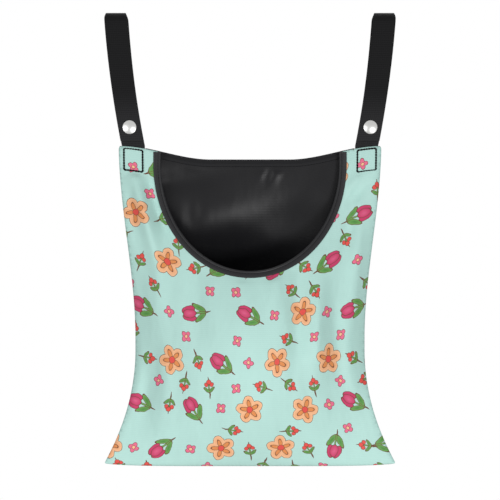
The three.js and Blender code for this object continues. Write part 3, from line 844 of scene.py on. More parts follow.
def tape_row(cut, tape, facing, line, face, inset):
    """Line of topstitching that far from the fold of a tape, on its outer or inner face."""
    seat, beyond, normal = edge_frames(cut, facing, line)
    return (seat - beyond * inset + normal * (cut.cloth / 2 + tape.thickness) * face)[1:-1]


def hem_line(cut, strap):
    """The back's top edge in the front view, between the sewn ends of the straps."""
    end = float(tab_centre(cut, strap, BAG_TOP)) - strap.width / 2 - HEM_GAP
    x = np.linspace(-end, end, HEM_STEPS)
    return np.stack([x, top_edge(cut, x)], 1)


def seam_line(cut):
    """The side seams and the bottom seam in the front view, from the top left to the top right."""
    up, along = np.linspace(1, 0, SEAM_SIDE_STEPS), np.linspace(-1, 1, SEAM_FOOT_STEPS)
    edge = np.concatenate([
        panel_point(cut, FRONT, -1, up),
        panel_point(cut, FRONT, along, 0)[1:-1],
        panel_point(cut, FRONT, 1, up[::-1]),
    ])[:, [0, 2]]
    return rounded(spaced(edge, FINE_STEP), SEAM_ROUND)


# Sewing

STITCH_PRESS = 0.6  # height of a laid stitch over its width
TOP_STITCH, BOX_STITCH = 0.95, 1.25  # length of a stitch over its pitch, in the topstitching and the boxes
BOX_LIFT = 0.15  # how far a box stitch's middle stands off the cloth, over its thickness
BOX_CORNER = 0.45  # how far a row of a box stays from its corners, in stitches
BOX_FOOT = 3.4 * MM  # end of the webbing to the lowest row of the box
ROW_STEP = 0.5 * MM


def stitch_tree():
    """Geometry nodes that lay a stitch at each step of a line."""
    tree = bpy.data.node_groups.new("laid_stitches", "GeometryNodeTree")
    tree.interface.new_socket("Geometry", in_out="INPUT", socket_type="NodeSocketGeometry")
    for name in ("Pitch", "Stitch", "Thread", "Height"):
        tree.interface.new_socket(name, in_out="INPUT", socket_type="NodeSocketFloat")
    tree.interface.new_socket("Material", in_out="INPUT", socket_type="NodeSocketMaterial")
    tree.interface.new_socket("Geometry", in_out="OUTPUT", socket_type="NodeSocketGeometry")
    given = put(tree, "NodeGroupInput")
    line = put(tree, "GeometryNodeMeshToCurve", {"Mesh": given["Geometry"]})["Curve"]
    steps = put(tree, "GeometryNodeResampleCurve", {"Curve": line, "Length": given["Pitch"]}, mode="LENGTH")
    along = put(tree, "GeometryNodeInputTangent")["Tangent"]
    turn = put(tree, "FunctionNodeAlignRotationToVector", {"Vector": along}, axis="X")["Rotation"]
    sides = {"X": given["Stitch"], "Y": given["Height"], "Z": given["Thread"]}
    size = put(tree, "ShaderNodeCombineXYZ", sides)["Vector"]
    bead = put(tree, "GeometryNodeMeshUVSphere", {"Segments": 8, "Rings": 6, "Radius": 0.5})["Mesh"]
    laid = put(
        tree, "GeometryNodeInstanceOnPoints",
        {"Points": steps["Curve"], "Instance": bead, "Rotation": turn, "Scale": size},
    )["Instances"]
    smooth = put(tree, "GeometryNodeSetShadeSmooth", {"Geometry": laid})["Geometry"]
    real = put(tree, "GeometryNodeRealizeInstances", {"Geometry": smooth})["Geometry"]
    painted = put(tree, "GeometryNodeSetMaterial", {"Geometry": real, "Material": given["Material"]})
    put(tree, "NodeGroupOutput", {"Geometry": painted["Geometry"]})
    return tree


def sew(name, lines, pitch, stitch, thread):
    """Stitches along lines of points, as one plain mesh."""
    tree = bpy.data.node_groups.get("laid_stitches") or stitch_tree()
    edges, start = [], 0
    for line in lines:
        edges += [(start + i, start + i + 1) for i in range(len(line) - 1)]
        start += len(line)
    draft = build(name + "_line", np.concatenate(lines), [], edges=edges)
    laid = draft.modifiers.new("stitches", "NODES")
    laid.node_group = tree
    values = {
        "Pitch": pitch,
        "Stitch": stitch,
        "Thread": thread,
        "Height": STITCH_PRESS * thread,
        "Material": finish_of("thread"),
    }
    for item in tree.interface.items_tree:
        if item.in_out == "INPUT" and item.name in values:
            laid[item.identifier] = values[item.name]
    return plain(draft, name)


def box_lines(cut, strap, side, facing, lift, stitch):
    """Box of stitching over the sewn end of a strap, on a panel's outer face."""
    wide, top, low = strap.width / 2 - strap.stitch_inset, strap.stitch_inset, strap.tab - BOX_FOOT
    corners = np.array([[-wide, top], [wide, top], [wide, low], [-wide, low], [-wide, top]])
    lines = []
    for start, end in zip(corners[:-1], corners[1:]):
        back = unit(end - start) * stitch * BOX_CORNER
        u, drop = spaced([start + back, end - back], ROW_STEP).T
        x = tab_centre(cut, strap, BAG_TOP - drop) + u
        lines.append(panel_at(cut, facing, side * x, top_edge(cut, x) - drop, lift))
    return lines


# Press studs

TURNS = 64
FILLET, FILLET_POINTS = 0.3 * MM, 5
SHORT_SIDE = 2.1  # a fillet takes at most one part in this many of a short side
SOCKET_FLOOR, SOCKET_WALL, BORE_PLAY = 1.1 * MM, 1.8 * MM, 0.35 * MM
CAP_EDGE = ((0.5, 0), (0.1, 0.1), (0, 0.4), (0.08, 0.72))  # rolled rim: in from it, out from the back (mm)
DOME_START, DOME_POINTS = 0.93, 14  # share of the radius where the dome begins
POST_TAPER = 0.4 * MM
SPRING_MOUTH, SPRING_STEPS, WIRE_SIDES = 40, 60, 12  # opening in degrees, points along and round the wire


def turned(name, profile, side, material):
    """A body turned about the press stud's axis, from (radius, y) pairs."""
    profile = np.asarray(profile)
    angle = np.linspace(0, 2 * math.pi, TURNS, endpoint=False)
    x = side * SNAP_X + profile[None, :, 0] * np.cos(angle)[:, None]
    z = SNAP_LEVEL + profile[None, :, 0] * np.sin(angle)[:, None]
    y = np.broadcast_to(profile[None, :, 1], x.shape)
    points = np.stack([x, y, z], axis=-1).reshape(-1, 3)
    here = np.arange(len(points)).reshape(TURNS, len(profile))
    there = np.roll(here, -1, axis=0)
    quads = np.stack([here[:, :-1], here[:, 1:], there[:, 1:], there[:, :-1]], axis=-1).reshape(-1, 4)
    return outward(build(name, points, quads, None, [material]), sharp=35)


def fillet(corners, closed=True):
    """Rounds the corners of a turned profile with short arcs."""
    corners = [np.asarray(c, float) for c in corners]
    count, arcs = len(corners), []
    for i, here in enumerate(corners):
        if not closed and i in (0, count - 1):
            arcs.append(here)
            continue
        to, on = corners[i - 1] - here, corners[(i + 1) % count] - here
        cut_back = min(FILLET, np.linalg.norm(to) / SHORT_SIDE, np.linalg.norm(on) / SHORT_SIDE)
        start, end = here + unit(to) * cut_back, here + unit(on) * cut_back
        for t in np.linspace(0, 1, FILLET_POINTS):
            arcs.append((1 - t) ** 2 * start + 2 * t * (1 - t) * here + t * t * end)
    return arcs + arcs[:1] if closed else arcs


class SnapStack:
    """Levels, radii and profiles of the press stud's pieces, from the rear strap towards the front."""

    def __init__(self, snap, strap):
        half, gap = strap.thickness / 2, snap.gap
        self.snap = snap
        self.stud_back = -half - gap
        self.stud_face = self.stud_back - snap.flange_thickness
        self.knob_tip = self.stud_face - snap.knob_height
        self.socket_back = self.stud_face - gap
        self.socket_floor = self.knob_tip - gap
        self.socket_front = self.socket_floor - SOCKET_FLOOR
        self.flap_middle = self.socket_front - gap - half
        self.cap_back = self.flap_middle - half - gap
        self.post_seat = half + gap
        self.hole = snap.shank / 2 + gap
        self.bore = snap.knob / 2 + BORE_PLAY
        self.spring_level = self.stud_face - snap.knob_height / 2
        self.spring_radius = self.bore + snap.wire / 2
        self.groove = self.spring_radius + snap.wire / 2 + gap
        self.groove_half = snap.wire / 2 + gap

    def cap(self):
        """Domed cap with a rolled rim, and the shank that rivets it through the flap."""
        snap, back = self.snap, self.cap_back
        rim, shank = snap.cap / 2, snap.shank / 2
        edge = [(rim - inwards * MM, back - out * MM) for inwards, out in CAP_EDGE]
        share = np.linspace(DOME_START, 0, DOME_POINTS)
        dome = [(rim * r, back - snap.cap_rim - snap.cap_crown * (1 - r * r)) for r in share]
        return [(0, self.socket_floor), (shank, self.socket_floor), (shank, back), *edge, *dome]

    def socket(self):
        """Socket with a bore for the knob and a groove for the spring."""
        wall, hole, bore, groove = self.groove + SOCKET_WALL, self.hole, self.bore, self.groove
        back, floor, front = self.socket_back, self.socket_floor, self.socket_front
        low, high = self.spring_level - self.groove_half, self.spring_level + self.groove_half
        return fillet([
            (bore, back), (wall, back), (wall, front), (hole, front), (hole, floor),
            (bore, floor), (bore, low), (groove, low), (groove, high), (bore, high),
        ])

    def stud(self):
        """Flange and knob, with a neck inside the spring."""
        hole, flange, neck = self.hole, self.snap.flange / 2, self.snap.neck / 2
        back, face, tip = self.stud_back, self.stud_face, self.knob_tip
        shoulder = self.spring_level - self.snap.wire / 2
        return fillet([
            (hole, back), (flange, back), (flange, face), (neck, face), (neck, shoulder),
            (self.snap.knob / 2, (tip + shoulder) / 2), (neck, tip), (hole, tip),
        ])

    def post(self):
        """Post with a flat head, which rivets the stud through the rear layer."""
        shank, head, seat = self.snap.shank / 2, self.snap.flange / 2, self.post_seat
        tip, back = self.knob_tip + self.snap.gap, seat + self.snap.flange_thickness
        rim = [(head, seat), (head - POST_TAPER, back)]
        return fillet([(0, tip), (shank, tip), (shank, seat), *rim, (0, back)], closed=False)

    def spring(self, name, side, material):
        """An open ring of wire in the socket's groove."""
        mouth, wire = math.radians(SPRING_MOUTH), self.snap.wire / 2
        angle = np.linspace(mouth / 2, 2 * math.pi - mouth / 2, SPRING_STEPS)
        turn = np.linspace(0, 2 * math.pi, WIRE_SIDES, endpoint=False)
        away, level = self.spring_radius + wire * np.cos(turn), self.spring_level + wire * np.sin(turn)
        rings = [
            np.stack([side * SNAP_X + away * math.cos(a), level, SNAP_LEVEL + away * math.sin(a)], 1)
            for a in angle
        ]
        return loft(name, rings, grid_of(turn, angle), material)


# Materials

WAVE_RUN = math.pi / 10  # a wave texture along X or Y repeats every pi / 10 over its scale
UNDER, OVER, MIXED = 6, 7, 2  # colour sockets of a Mix node
THREAD_DEPTH = 0.05 * MM
CREASE_ACROSS, CREASE_DOWN = 26 * MM, 60 * MM
WORN, SATIN = 0.06, 0.07  # how far rubbing changes a cloth's roughness, and grain a metal's
FAINTER = 0.6  # share of the fainter pattern where two are added
ROW_SHIFT = 0.5  # cells by which each row of flowers is shifted against the one below
SEED_STEP = 10  # keeps the dice of the scatters apart from one seed to the next

# Motifs of the print in millimetres: centre, half length, half width, turn, inner and outer colour.
# Petals repeat round the middle that many times; 0 mirrors the drawing left and right.
MOTIFS = {
    "blossom": (5, (
        (9.0, 0, 7.2, 6.2, 0, "apricot", "peach"),
        (6.3, 0, 4.6, 2.0, 0, "amber", "amber"),
        (0, 0, 3.4, 3.4, 0, "coral", "coral"),
    )),
    "tulip": (0, (
        (5.2, -7.6, 8.0, 2.7, 58, "moss", "leaf"),
        (0, -7.5, 8.5, 0.7, 90, "leaf", "leaf"),
        (4.0, 6.4, 8.0, 4.0, 102, "raspberry", "raspberry"),
        (0, 5.6, 7.8, 4.3, 90, "rose", "raspberry"),
    )),
    "sprig": (0, (
        (0, -1.5, 6.6, 0.5, 90, "leaf", "leaf"),
        (3.2, -3.4, 3.8, 1.5, 38, "moss", "leaf"),
        (3.4, 2.6, 2.2, 2.2, 0, "coral", "coral"),
        (0, 5.6, 2.5, 2.5, 0, "coral", "coral"),
    )),
    "posy": (4, (
        (3.2, 0, 2.9, 2.3, 0, "pink", "pink"),
        (0, 0, 1.7, 1.7, 0, "peach", "peach"),
    )),
}
OUTLINE = 0.5  # drawn line round a motif, in millimetres

# Scatters: shift of the lattice in cells, seed, jitter in cells, and (motif, lowest, highest dice)
SCATTERS = (
    ((0.0, 0.0), 1, 0.12, (("blossom", 0.0, 0.5), ("tulip", 0.5, 1.0))),
    ((0.5, 0.0), 2, 0.08, (("sprig", 0.0, 0.45), ("posy", 0.45, 0.85))),
    ((0.25, 0.5), 3, 0.08, (("posy", 0.0, 0.45), ("sprig", 0.45, 0.85))),
    ((0.75, 0.5), 4, 0.08, (("sprig", 0.0, 0.3), ("posy", 0.3, 0.6))),
)


def weave(tree, cloth, pitch):
    """Height of a plain weave with that thread spacing, on the cloth's own flat coordinates."""
    threads = {"Vector": cloth, "Scale": WAVE_RUN / pitch}
    warp = put(tree, WAVE, threads, bands_direction="X")["Fac"]
    weft = put(tree, WAVE, threads, bands_direction="Y")["Fac"]
    return put(tree, MIX, {"Factor": warp, "A": weft, "B": 0.5}, data_type="FLOAT")["Result"]


def creased(tree, cloth):
    """Height of the soft creases that handling leaves, longer down the cloth than across it."""
    scale = (1 / CREASE_ACROSS, 1 / CREASE_DOWN, 0)
    stretched = put(tree, VECTORS, {0: cloth, 1: scale}, operation="MULTIPLY")[0]
    return put(tree, NOISE, {"Vector": stretched, "Scale": 1.0, "Detail": 2.0})["Fac"]


def scattered(tree, cloth, design, shift, seed, jitter):
    """Place within a motif's own cell, in millimetres and turned at random, and the cell's dice."""
    across, up = design.pitch_across, design.pitch_up
    lattice = {0: cloth, 1: (1 / across, 1 / up, 0), 2: (*shift, 0)}
    cells = put(tree, VECTORS, lattice, operation="MULTIPLY_ADD")[0]
    split = put(tree, "ShaderNodeSeparateXYZ", {0: cells})
    row = put(tree, MATH, {0: split["Y"]}, operation="FLOOR")[0]
    stepped = put(tree, MATH, {0: row, 1: ROW_SHIFT, 2: split["X"]}, operation="MULTIPLY_ADD")[0]
    cells = put(tree, "ShaderNodeCombineXYZ", {"X": stepped, "Y": split["Y"]})[0]
    cell = put(tree, VECTORS, {0: cells}, operation="FLOOR")[0]
    throw = {"Vector": cell, "W": float(seed + SEED_STEP * design.seed)}
    dice = put(tree, "ShaderNodeTexWhiteNoise", throw, noise_dimensions="4D")
    place = put(tree, VECTORS, {0: cells}, operation="FRACTION")[0]
    strewn = {0: dice["Color"], 1: (jitter, jitter, 0), 2: place}
    nudge = put(tree, VECTORS, strewn, operation="MULTIPLY_ADD")[0]
    middle = 0.5 + jitter / 2
    local = put(tree, VECTORS, {0: nudge, 1: (middle, middle, 0)}, operation="SUBTRACT")[0]
    sized = put(tree, VECTORS, {0: local, 1: (across / MM, up / MM, 0)}, operation="MULTIPLY")[0]
    blue = put(tree, "ShaderNodeSeparateColor", {0: dice["Color"]})["Blue"]
    turn = put(tree, MATH, {0: blue, 1: 2 * math.pi}, operation="MULTIPLY")[0]
    spot = put(tree, "ShaderNodeVectorRotate", {"Vector": sized, "Angle": turn}, rotation_type="Z_AXIS")
    return spot[0], dice["Value"]


def symmetry(tree, spot, petals):
    """Folds a motif's plane so that one petal, or one half, draws them all."""
    split = put(tree, "ShaderNodeSeparateXYZ", {0: spot})
    if not petals:
        side = put(tree, MATH, {0: split["X"]}, operation="ABSOLUTE")[0]
        return put(tree, "ShaderNodeCombineXYZ", {"X": side, "Y": split["Y"]})[0]
    angle = put(tree, MATH, {0: split["Y"], 1: split["X"]}, operation="ARCTAN2")[0]
    sector = math.pi / petals
    turn = put(tree, MATH, {0: angle, 1: sector, 2: -sector}, operation="WRAP")[0]
    away = put(tree, VECTORS, {0: spot}, operation="LENGTH")["Value"]
    ways = {}
    for axis, operation in (("X", "COSINE"), ("Y", "SINE")):
        way = put(tree, MATH, {0: turn}, operation=operation)[0]
        ways[axis] = put(tree, MATH, {0: way, 1: away}, operation="MULTIPLY")[0]
    return put(tree, "ShaderNodeCombineXYZ", ways)[0]


def drawn(tree, spot, under, motif, design):
    """Draws a motif over a colour: each part is an outlined oval."""
    petals, parts = MOTIFS[motif]
    place = symmetry(tree, spot, petals)
    for x, y, long, wide, turn, inner, outer in parts:
        oval = {
            "Vector": place,
            "Location": (x, y, 0),
            "Rotation": (0, 0, math.radians(turn)),
            "Scale": (long, wide, 1),
        }
        within_oval = put(tree, "ShaderNodeMapping", oval, vector_type="TEXTURE")[0]
        away = put(tree, VECTORS, {0: within_oval}, operation="LENGTH")["Value"]
        fill = getattr(design, inner)
        if inner != outer:
            fade = {0: away, UNDER: fill, OVER: getattr(design, outer)}
            fill = put(tree, MIX, fade, data_type="RGBA")[MIXED]
        for limit, paint in ((1 + OUTLINE / wide, design.outline), (1.0, fill)):
            inside = put(tree, MATH, {0: away, 1: limit}, operation="LESS_THAN")[0]
            under = put(tree, MIX, {0: inside, UNDER: under, OVER: paint}, data_type="RGBA")[MIXED]
    return under


def printed_canvas(name, design):
    """Canvas with flowers in flat inks: matt, and the threads' crosshatch shows through the print."""
    material, tree = blank(name)
    cloth = put(tree, "ShaderNodeUVMap", uv_map="cut")["UV"]
    mottle = put(tree, NOISE, {"Vector": cloth, "Scale": 1 / (30 * MM), "Detail": 3.0})["Fac"]
    ink = tinted(tree, design.ground, mottle, 0.96, 1.04)
    # The drawn lines wander by about half a millimetre, as a pen does.
    hand = put(tree, NOISE, {"Vector": cloth, "Scale": 1 / (7 * MM), "Detail": 1.0})["Color"]
    drift = {0: hand, 1: (2.4 * MM, 2.4 * MM, 0), 2: cloth}
    wander = put(tree, VECTORS, drift, operation="MULTIPLY_ADD")[0]
    for shift, seed, jitter, choices in SCATTERS:
        spot, dice = scattered(tree, wander, design, shift, seed, jitter)
        for motif, low, high in choices:
            flower = drawn(tree, spot, ink, motif, design)
            span = {0: dice, 1: (low + high) / 2, 2: (high - low) / 2}
            chosen = put(tree, MATH, span, operation="COMPARE")[0]
            ink = put(tree, MIX, {0: chosen, UNDER: ink, OVER: flower}, data_type="RGBA")[MIXED]
    # Such threads lie about 0.5 mm apart; they are drawn at 2.2 mm, so that the crosshatch shows.
    threads = weave(tree, cloth, 2.2 * MM)
    inked = tinted(tree, ink, threads, 0.965, 1.035)
    return surface(
        material, {"Base Color": inked, "Roughness": 0.6, "Specular IOR Level": 0.25},
        (creased(tree, cloth), 2.5 * MM), (threads, THREAD_DEPTH),
    )


def woven_cloth(name, tone, roughness, gloss, pitch, crease=None):
    """A plain-woven cloth of one dye, with its threads drawn at that pitch and creases of that depth."""
    material, tree = blank(name)
    cloth = put(tree, "ShaderNodeUVMap", uv_map="cut")["UV"]
    threads = weave(tree, cloth, pitch)
    mottle = put(tree, NOISE, {"Vector": cloth, "Scale": 1 / (24 * MM), "Detail": 3.0})["Fac"]
    both = put(tree, MATH, {0: mottle, 1: FAINTER, 2: threads}, operation="MULTIPLY_ADD")[0]
    dyed = tinted(tree, tone, both, 0.86, 1.14, 1 + FAINTER)
    worn = put(tree, RANGE, {"Value": mottle, "To Min": roughness - WORN, "To Max": roughness + WORN})[0]
    creases = [(creased(tree, cloth), crease)] if crease else []
    return surface(
        material, {"Base Color": dyed, "Roughness": worn, "Specular IOR Level": gloss},
        *creases, (threads, THREAD_DEPTH),
    )


def webbing(name, tone):
    """Dense black with dull ribs across it, and painted light that makes it paler towards its lower end."""
    material, tree = blank(name)
    strap = put(tree, "ShaderNodeUVMap", uv_map="cut")["UV"]
    # Such ribs lie about 1.3 mm apart, and the warp closer; they are drawn at 2.4 and 2.1 mm, to show.
    rib = {"Vector": strap, "Scale": WAVE_RUN / (2.4 * MM), "Distortion": 0.3, "Detail": 1.0}
    ribs = put(tree, WAVE, rib, bands_direction="Y")["Fac"]
    warp = put(tree, WAVE, {"Vector": strap, "Scale": WAVE_RUN / (2.1 * MM)}, bands_direction="X")["Fac"]
    threads = put(tree, MATH, {0: warp, 1: FAINTER, 2: ribs}, operation="MULTIPLY_ADD")[0]
    dyed = tinted(tree, tone, threads, 0.8, 1.2, 1 + FAINTER)
    # Painted light: the webbing is up to 2.2 times as light near its lower end, fading to its plain tone 60
    # mm up.
    from_end = put(tree, "ShaderNodeSeparateXYZ", {0: strap})["Y"]
    painted_light_span = {"Value": from_end, "From Min": 12 * MM, "From Max": 60 * MM, "To Min": 2.2, "To Max": 1.0}
    painted_light_lift = put(tree, RANGE, painted_light_span, interpolation_type="SMOOTHSTEP")[0]
    painted_lit_webbing = put(tree, "ShaderNodeHueSaturation", {"Color": dyed, "Value": painted_light_lift})[0]
    return surface(
        material, {"Base Color": painted_lit_webbing, "Roughness": 0.7, "Specular IOR Level": 0.06}, (threads, 0.12 * MM)
    )


def spun_thread(name, tone):
    """Black and dull, with a slanting twist."""
    material, tree = blank(name)
    place = put(tree, "ShaderNodeTexCoord")["Object"]
    # Such plies lie about 0.4 mm apart; a diagonal wave of 0.9 mm draws them about 1 mm apart, to show.
    plies = {"Vector": place, "Scale": WAVE_RUN / (0.9 * MM), "Distortion": 0.5}
    twist = put(tree, WAVE, plies, bands_direction="DIAGONAL")["Fac"]
    dyed = tinted(tree, tone, twist, 0.8, 1.25)
    return surface(
        material, {"Base Color": dyed, "Roughness": 0.75, "Specular IOR Level": 0.08}, (twist, 0.08 * MM)
    )


def plated_metal(name, tone, roughness, grain):
    """Bright metal with a satin grain that blurs what it mirrors, drawn coarser than a real one."""
    material, tree = blank(name)
    place = put(tree, "ShaderNodeTexCoord")["Object"]
    satin = put(tree, NOISE, {"Vector": place, "Scale": 1 / grain, "Detail": 4.0})["Fac"]
    blur = put(tree, RANGE, {"Value": satin, "To Min": roughness - SATIN, "To Max": roughness + SATIN})[0]
    toned = tinted(tree, tone, satin, 0.94, 1.04)
    return surface(material, {"Base Color": toned, "Metallic": 1.0, "Roughness": blur}, (satin, 0.01 * MM))


def floor_paint(name, tone):
    """Pale and matt, with a trace of the roller's stipple, drawn coarser than a real one."""
    material, tree = blank(name)
    place = put(tree, "ShaderNodeTexCoord")["Object"]
    stipple = put(tree, NOISE, {"Vector": place, "Scale": 1 / (8 * MM), "Detail": 2.0})["Fac"]
    painted = tinted(tree, tone, stipple, 0.98, 1.02)
    return surface(material, {"Base Color": painted, "Roughness": 0.85}, (stipple, 0.1 * MM))


# Finishes: the function that makes each, its name, and for a cloth its roughness, gloss, thread pitch and
# depth of creases, or for a metal its roughness and grain. Threads of such cloths lie about 0.3 to 0.5 mm
# apart; they are drawn about four times as coarse, so that they show.
FINISHES = {
    "printed": (printed_canvas, "polyester canvas, plain woven and pigment printed"),
    # The back of the cloth takes no ink: pale, with the same threads.
    "reverse": (woven_cloth, "polyester canvas, unprinted reverse", 0.8, 0.25, 2.2 * MM),
    # Filament yarn packed close: black, with soft broad reflections along its folds.
    "lining": (woven_cloth, "polyester oxford, filament woven and dyed", 0.35, 0.16, 1.8 * MM, 0.6 * MM),
    # Cut on the bias and pressed into a fold: charcoal, dull, a little puffed.
    "tape": (woven_cloth, "cotton bias tape, plain woven and pressed", 0.46, 0.25, 1.6 * MM),
    # The same tape unpressed: its nap is up, so it is a shade darker and hardly shines.
    "hem": (woven_cloth, "cotton bias tape, plain woven and napped", 0.6, 0.12, 1.6 * MM),
    "webbing": (webbing, "polypropylene webbing, narrow woven"),
    "thread": (spun_thread, "spun polyester thread, three-ply twisted"),
    # Pressed smooth, then plated: a bright grey that mirrors softly.
    "nickel": (plated_metal, "brass, pressed and satin nickel plated", 0.3, 0.4 * MM),
    # Drawn through a die: a darker grey with a finer grain.
    "steel": (plated_metal, "spring steel, cold drawn wire", 0.34, 0.2 * MM),
    "floor": (floor_paint, "studio floor, rolled matt paint"),
}
MADE = {}


def finish_of(key):
    """The bag's finish of that key, made on its first use."""
    if key not in MADE:
        scene = bpy.context.scene
        make, name, *sizes = FINISHES[key]
        look = scene.bag_print if key == "printed" else getattr(scene.bag_colours, key)
        MADE[key] = make(name, look, *sizes)
    return MADE[key]


# Operators

def hang_panel(scene, name, facing, folds, finishes, node):
    materials = [finish_of(key) for key in finishes]
    ob, size, area = sewn_panel(name, scene.bag_cut, scene.bag_straps, facing, folds, materials)
    fasten(ob, "bag", node)


class SewFrontPanel(bpy.types.Operator):
    """Cuts, hangs and settles the printed front panel"""

    bl_idname = "pegbag.front_panel"
    bl_label = "Front panel"

    def execute(self, context):
        finishes = ("printed", "reverse")
        hang_panel(
            context.scene, "printed_front", FRONT, FRONT_FOLDS, finishes, "front_panel"
        )
        return {"FINISHED"}


class SewBackPanel(bpy.types.Operator):
    """Cuts, hangs and settles the black back panel"""

    bl_idname = "pegbag.back_panel"
    bl_label = "Back panel"

    def execute(self, context):
        finishes = ("lining", "lining")
        hang_panel(context.scene, "black_back", BACK, BACK_FOLDS, finishes, "back_panel")
        return {"FINISHED"}


class SewSeam(bpy.types.Operator):
    """Adds the turned-in edges of the panels along the sides and the bottom"""

    bl_idname = "pegbag.seam"
    bl_label = "Turned-in seam"

    def execute(self, context):
        edge = seam_line(context.scene.bag_cut)
        way = unit(np.gradient(edge, axis=0))
        inwards = np.stack([-way[:, 1], way[:, 0]], 1)
        share, half = np.array(SEAM_SECTION).T
        rings = []
        for place, inward in zip(edge, inwards):
            x, z = place[:, None] + inward[:, None] * (SEAM_INSET + SEAM_ALLOWANCE * share)
            rings.append(np.stack([x, half * MM, z], 1))
        uvs = grid_of(share * SEAM_ALLOWANCE, run_along(edge))
        ob = loft("turned_in_seam", rings, uvs, finish_of("tape"))
        fasten(ob, "bag", "outer_seam")
        return {"FINISHED"}


class FoldTapes(bpy.types.Operator):
    """Folds the tapes over the mouth and over the back's top edge, and topstitches them"""

    bl_idname = "pegbag.tapes"
    bl_label = "Folded tapes"

    def execute(self, context):
        scene = context.scene
        cut, tape, sewing = scene.bag_cut, scene.bag_tape, scene.bag_thread
        pitch = sewing.fine_pitch
        mouth = spaced(mouth_line(cut), MOUTH_STEP)
        hem = hem_line(cut, scene.bag_straps)
        for name, node, facing, line, faces, finish, inset, thread in (
            ("mouth_tape", "mouth_binding", FRONT, mouth, (1,), "tape", TAPE_GROOVE, sewing.fine_thread),
            ("back_hem_tape", "back_hem_binding", BACK, hem, (1, -1), "hem", HEM_ROW, sewing.hem_thread),
        ):
            ob = edge_tape(name, cut, tape, facing, line, finish_of(finish))
            fasten(ob, "bag", node)
            rows = [tape_row(cut, tape, facing, line, face, inset) for face in faces]
            row = sew(name + "_topstitch", rows, pitch, TOP_STITCH * pitch, thread)
            fasten(row, "bag")
        return {"FINISHED"}


class LayStraps(bpy.types.Operator):
    """Lays the webbing of both straps: sewn ends, rear layers and front layers"""

    bl_idname = "pegbag.straps"
    bl_label = "Straps"

    def execute(self, context):
        scene = context.scene
        cut, strap = scene.bag_cut, scene.bag_straps
        run, flap = run_path(strap), flap_path(strap, SnapStack(scene.bag_snaps, strap).flap_middle)
        tab = straight(0, BAG_TOP - strap.tab, run[0, 1] - TAB_GAP, TAB_STEPS)
        make = (cut, strap, finish_of("webbing"))
        for hand, side in HANDS:
            sewn_end = band(f"{hand}_webbing_tab", tab, tab_centre, *make, side)
            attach(sewn_end, "bag")
            rear = band(f"{hand}_webbing_run", run, rear_centre, *make, side)
            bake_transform(rear)
            front = band(f"{hand}_webbing_flap", flap, run_centre, *make, side)
            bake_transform(front)
            for ob, node in ((sewn_end, "strap_tab"), (rear, "strap_run"), (front, "strap_flap")):
                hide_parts(f"{hand}_{node}")
        return {"FINISHED"}


class SewBoxes(bpy.types.Operator):
    """Sews a box of thick stitches over each strap's sewn end, front and back"""

    bl_idname = "pegbag.boxes"
    bl_label = "Strap boxes"

    def execute(self, context):
        scene = context.scene
        sewing = scene.bag_thread
        pitch, thread = sewing.box_pitch, sewing.box_thread
        stitch, lift = BOX_STITCH * pitch, BOX_LIFT * thread
        for hand, side in HANDS:
            lines = []
            for facing in (FRONT, BACK):
                lines += box_lines(scene.bag_cut, scene.bag_straps, side, facing, lift, stitch)
            ob = sew(f"{hand}_box_stitches", lines, pitch, stitch, thread)
            fasten(ob, "bag", f"{hand}_box_stitch")
        return {"FINISHED"}


class SetSnaps(bpy.types.Operator):
    """Turns the press studs: cap, socket and spring on the flap, stud and post on the rear layer"""

    bl_idname = "pegbag.snaps"
    bl_label = "Press studs"

    def execute(self, context):
        stack = SnapStack(context.scene.bag_snaps, context.scene.bag_straps)
        for hand, side in HANDS:
            flap = f"{hand}_flap"
            for kind, profile, body in (
                ("cap", stack.cap(), flap),
                ("socket", stack.socket(), flap),
                ("stud", stack.stud(), "straps"),
                ("post", stack.post(), "straps"),
            ):
                ob = turned(f"{hand}_stud_{kind}", profile, side, finish_of("nickel"))
                fasten(ob, body, f"{hand}_snap_{kind}")
            ring = stack.spring(f"{hand}_stud_spring", side, finish_of("steel"))
            fasten(ring, flap, f"{hand}_snap_spring")
        return {"FINISHED"}


FLOOR_LEVEL, FLOOR_RADIUS, FLOOR_SIDES = -0.9, 0.9, 96
CAMERA_DISTANCE, VIEW_HEIGHT, SENSOR = 2.4, 0.55, 36.0
VIEW_LEVEL = -0.2486  # level at the middle of the picture
LIGHTS_AIM = (0, 0, -0.25)
LIGHTS = (  # name, place, size in metres, power in watts
    ("key_light", (0.75, -1.85, -0.75), 0.5, 20.5),
    ("fill_light", (-1.2, -1.5, -0.3), 0.9, 11),
    ("rear_light", (0.3, 1.3, 1.1), 1.4, 24),
)
SOFT_LIGHT = 0.3  # strength of the white surroundings as a light


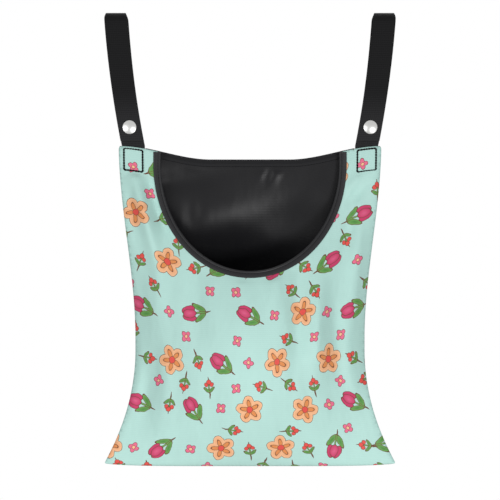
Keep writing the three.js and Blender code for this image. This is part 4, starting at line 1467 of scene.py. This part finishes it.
class SetStage(bpy.types.Operator):
    """Sets up the floor, the soft lights, the white surroundings and the camera"""

    bl_idname = "pegbag.stage"
    bl_label = "Stage"

    def execute(self, context):
        scene = context.scene
        angle = np.linspace(0, 2 * math.pi, FLOOR_SIDES, endpoint=False)
        rim = [(FLOOR_RADIUS * math.cos(a), FLOOR_RADIUS * math.sin(a), FLOOR_LEVEL) for a in angle]
        build("studio_floor", rim, [range(FLOOR_SIDES)], None, [finish_of("floor")])
        for name, place, size, power in LIGHTS:
            lamp = bpy.data.lights.new(name, "AREA")
            lamp.size = size
            lamp.energy = power
            light = linked(name, lamp)
            light.location = place
            aim = Vector(LIGHTS_AIM) - Vector(place)
            light.rotation_euler = aim.to_track_quat("-Z", "Y").to_euler()
        self.surroundings(scene)
        camera = bpy.data.cameras.new("camera")
        camera.sensor_width = SENSOR
        camera.lens = SENSOR * CAMERA_DISTANCE / VIEW_HEIGHT
        scene.camera = linked("camera", camera)
        scene.camera.location = (0, -CAMERA_DISTANCE, VIEW_LEVEL)
        scene.camera.rotation_euler = (math.pi / 2, 0, 0)
        scene.view_settings.view_transform = "Standard"
        return {"FINISHED"}

    def surroundings(self, scene):
        """White to the camera and in mirrors, and a soft plain light on everything else."""
        scene.world = bpy.data.worlds.new("white surroundings")
        scene.world.use_nodes = True
        tree = scene.world.node_tree
        tree.nodes.clear()
        path = put(tree, "ShaderNodeLightPath")
        seen = path["Is Camera Ray"]
        for ray in ("Is Glossy Ray", "Is Transmission Ray"):
            seen = put(tree, MATH, {0: seen, 1: path[ray]}, operation="MAXIMUM")[0]
        strength = put(tree, RANGE, {"Value": seen, "To Min": SOFT_LIGHT, "To Max": 1.0})[0]
        sky = put(tree, "ShaderNodeBackground", {"Color": (1, 1, 1, 1), "Strength": strength})
        put(tree, "ShaderNodeOutputWorld", {"Surface": sky["Background"]})


class PegBagPanel(bpy.types.Panel):
    """Lists the steps that sew the bag"""

    bl_label = "Peg Bag"
    bl_idname = "VIEW3D_PT_peg_bag"
    bl_space_type = "VIEW_3D"
    bl_region_type = "UI"
    bl_category = "Peg Bag"

    def draw(self, context):
        for step in STEPS:
            self.layout.operator(step.bl_idname)
        for name in GROUPS:
            group = getattr(context.scene, name)
            box = self.layout.box()
            for key in group.__annotations__:
                box.prop(group, key)


GROUPS = {
    "bag_cut": BagCut,
    "bag_tape": TapeCut,
    "bag_straps": StrapCut,
    "bag_thread": ThreadCut,
    "bag_snaps": SnapSizes,
    "bag_print": PrintDesign,
    "bag_colours": BagColours,
}
STEPS = (SetStage, SewFrontPanel, SewBackPanel, SewSeam, FoldTapes, LayStraps, SewBoxes, SetSnaps)


def register():
    for group in GROUPS.values():
        bpy.utils.register_class(group)
    for name, group in GROUPS.items():
        setattr(bpy.types.Scene, name, PointerProperty(type=group))
    for kind in (*STEPS, PegBagPanel):
        bpy.utils.register_class(kind)


def unregister():
    for kind in (PegBagPanel, *reversed(STEPS)):
        bpy.utils.unregister_class(kind)
    for name in GROUPS:
        delattr(bpy.types.Scene, name)
    for group in reversed(GROUPS.values()):
        bpy.utils.unregister_class(group)


def main():
    register()
    bpy.ops.pegbag.stage()
    bpy.ops.pegbag.front_panel()
    bpy.ops.pegbag.back_panel()
    bpy.ops.pegbag.seam()
    bpy.ops.pegbag.tapes()
    bpy.ops.pegbag.straps()
    bpy.ops.pegbag.boxes()
    bpy.ops.pegbag.snaps()


if __name__ == "__main__":
    main()
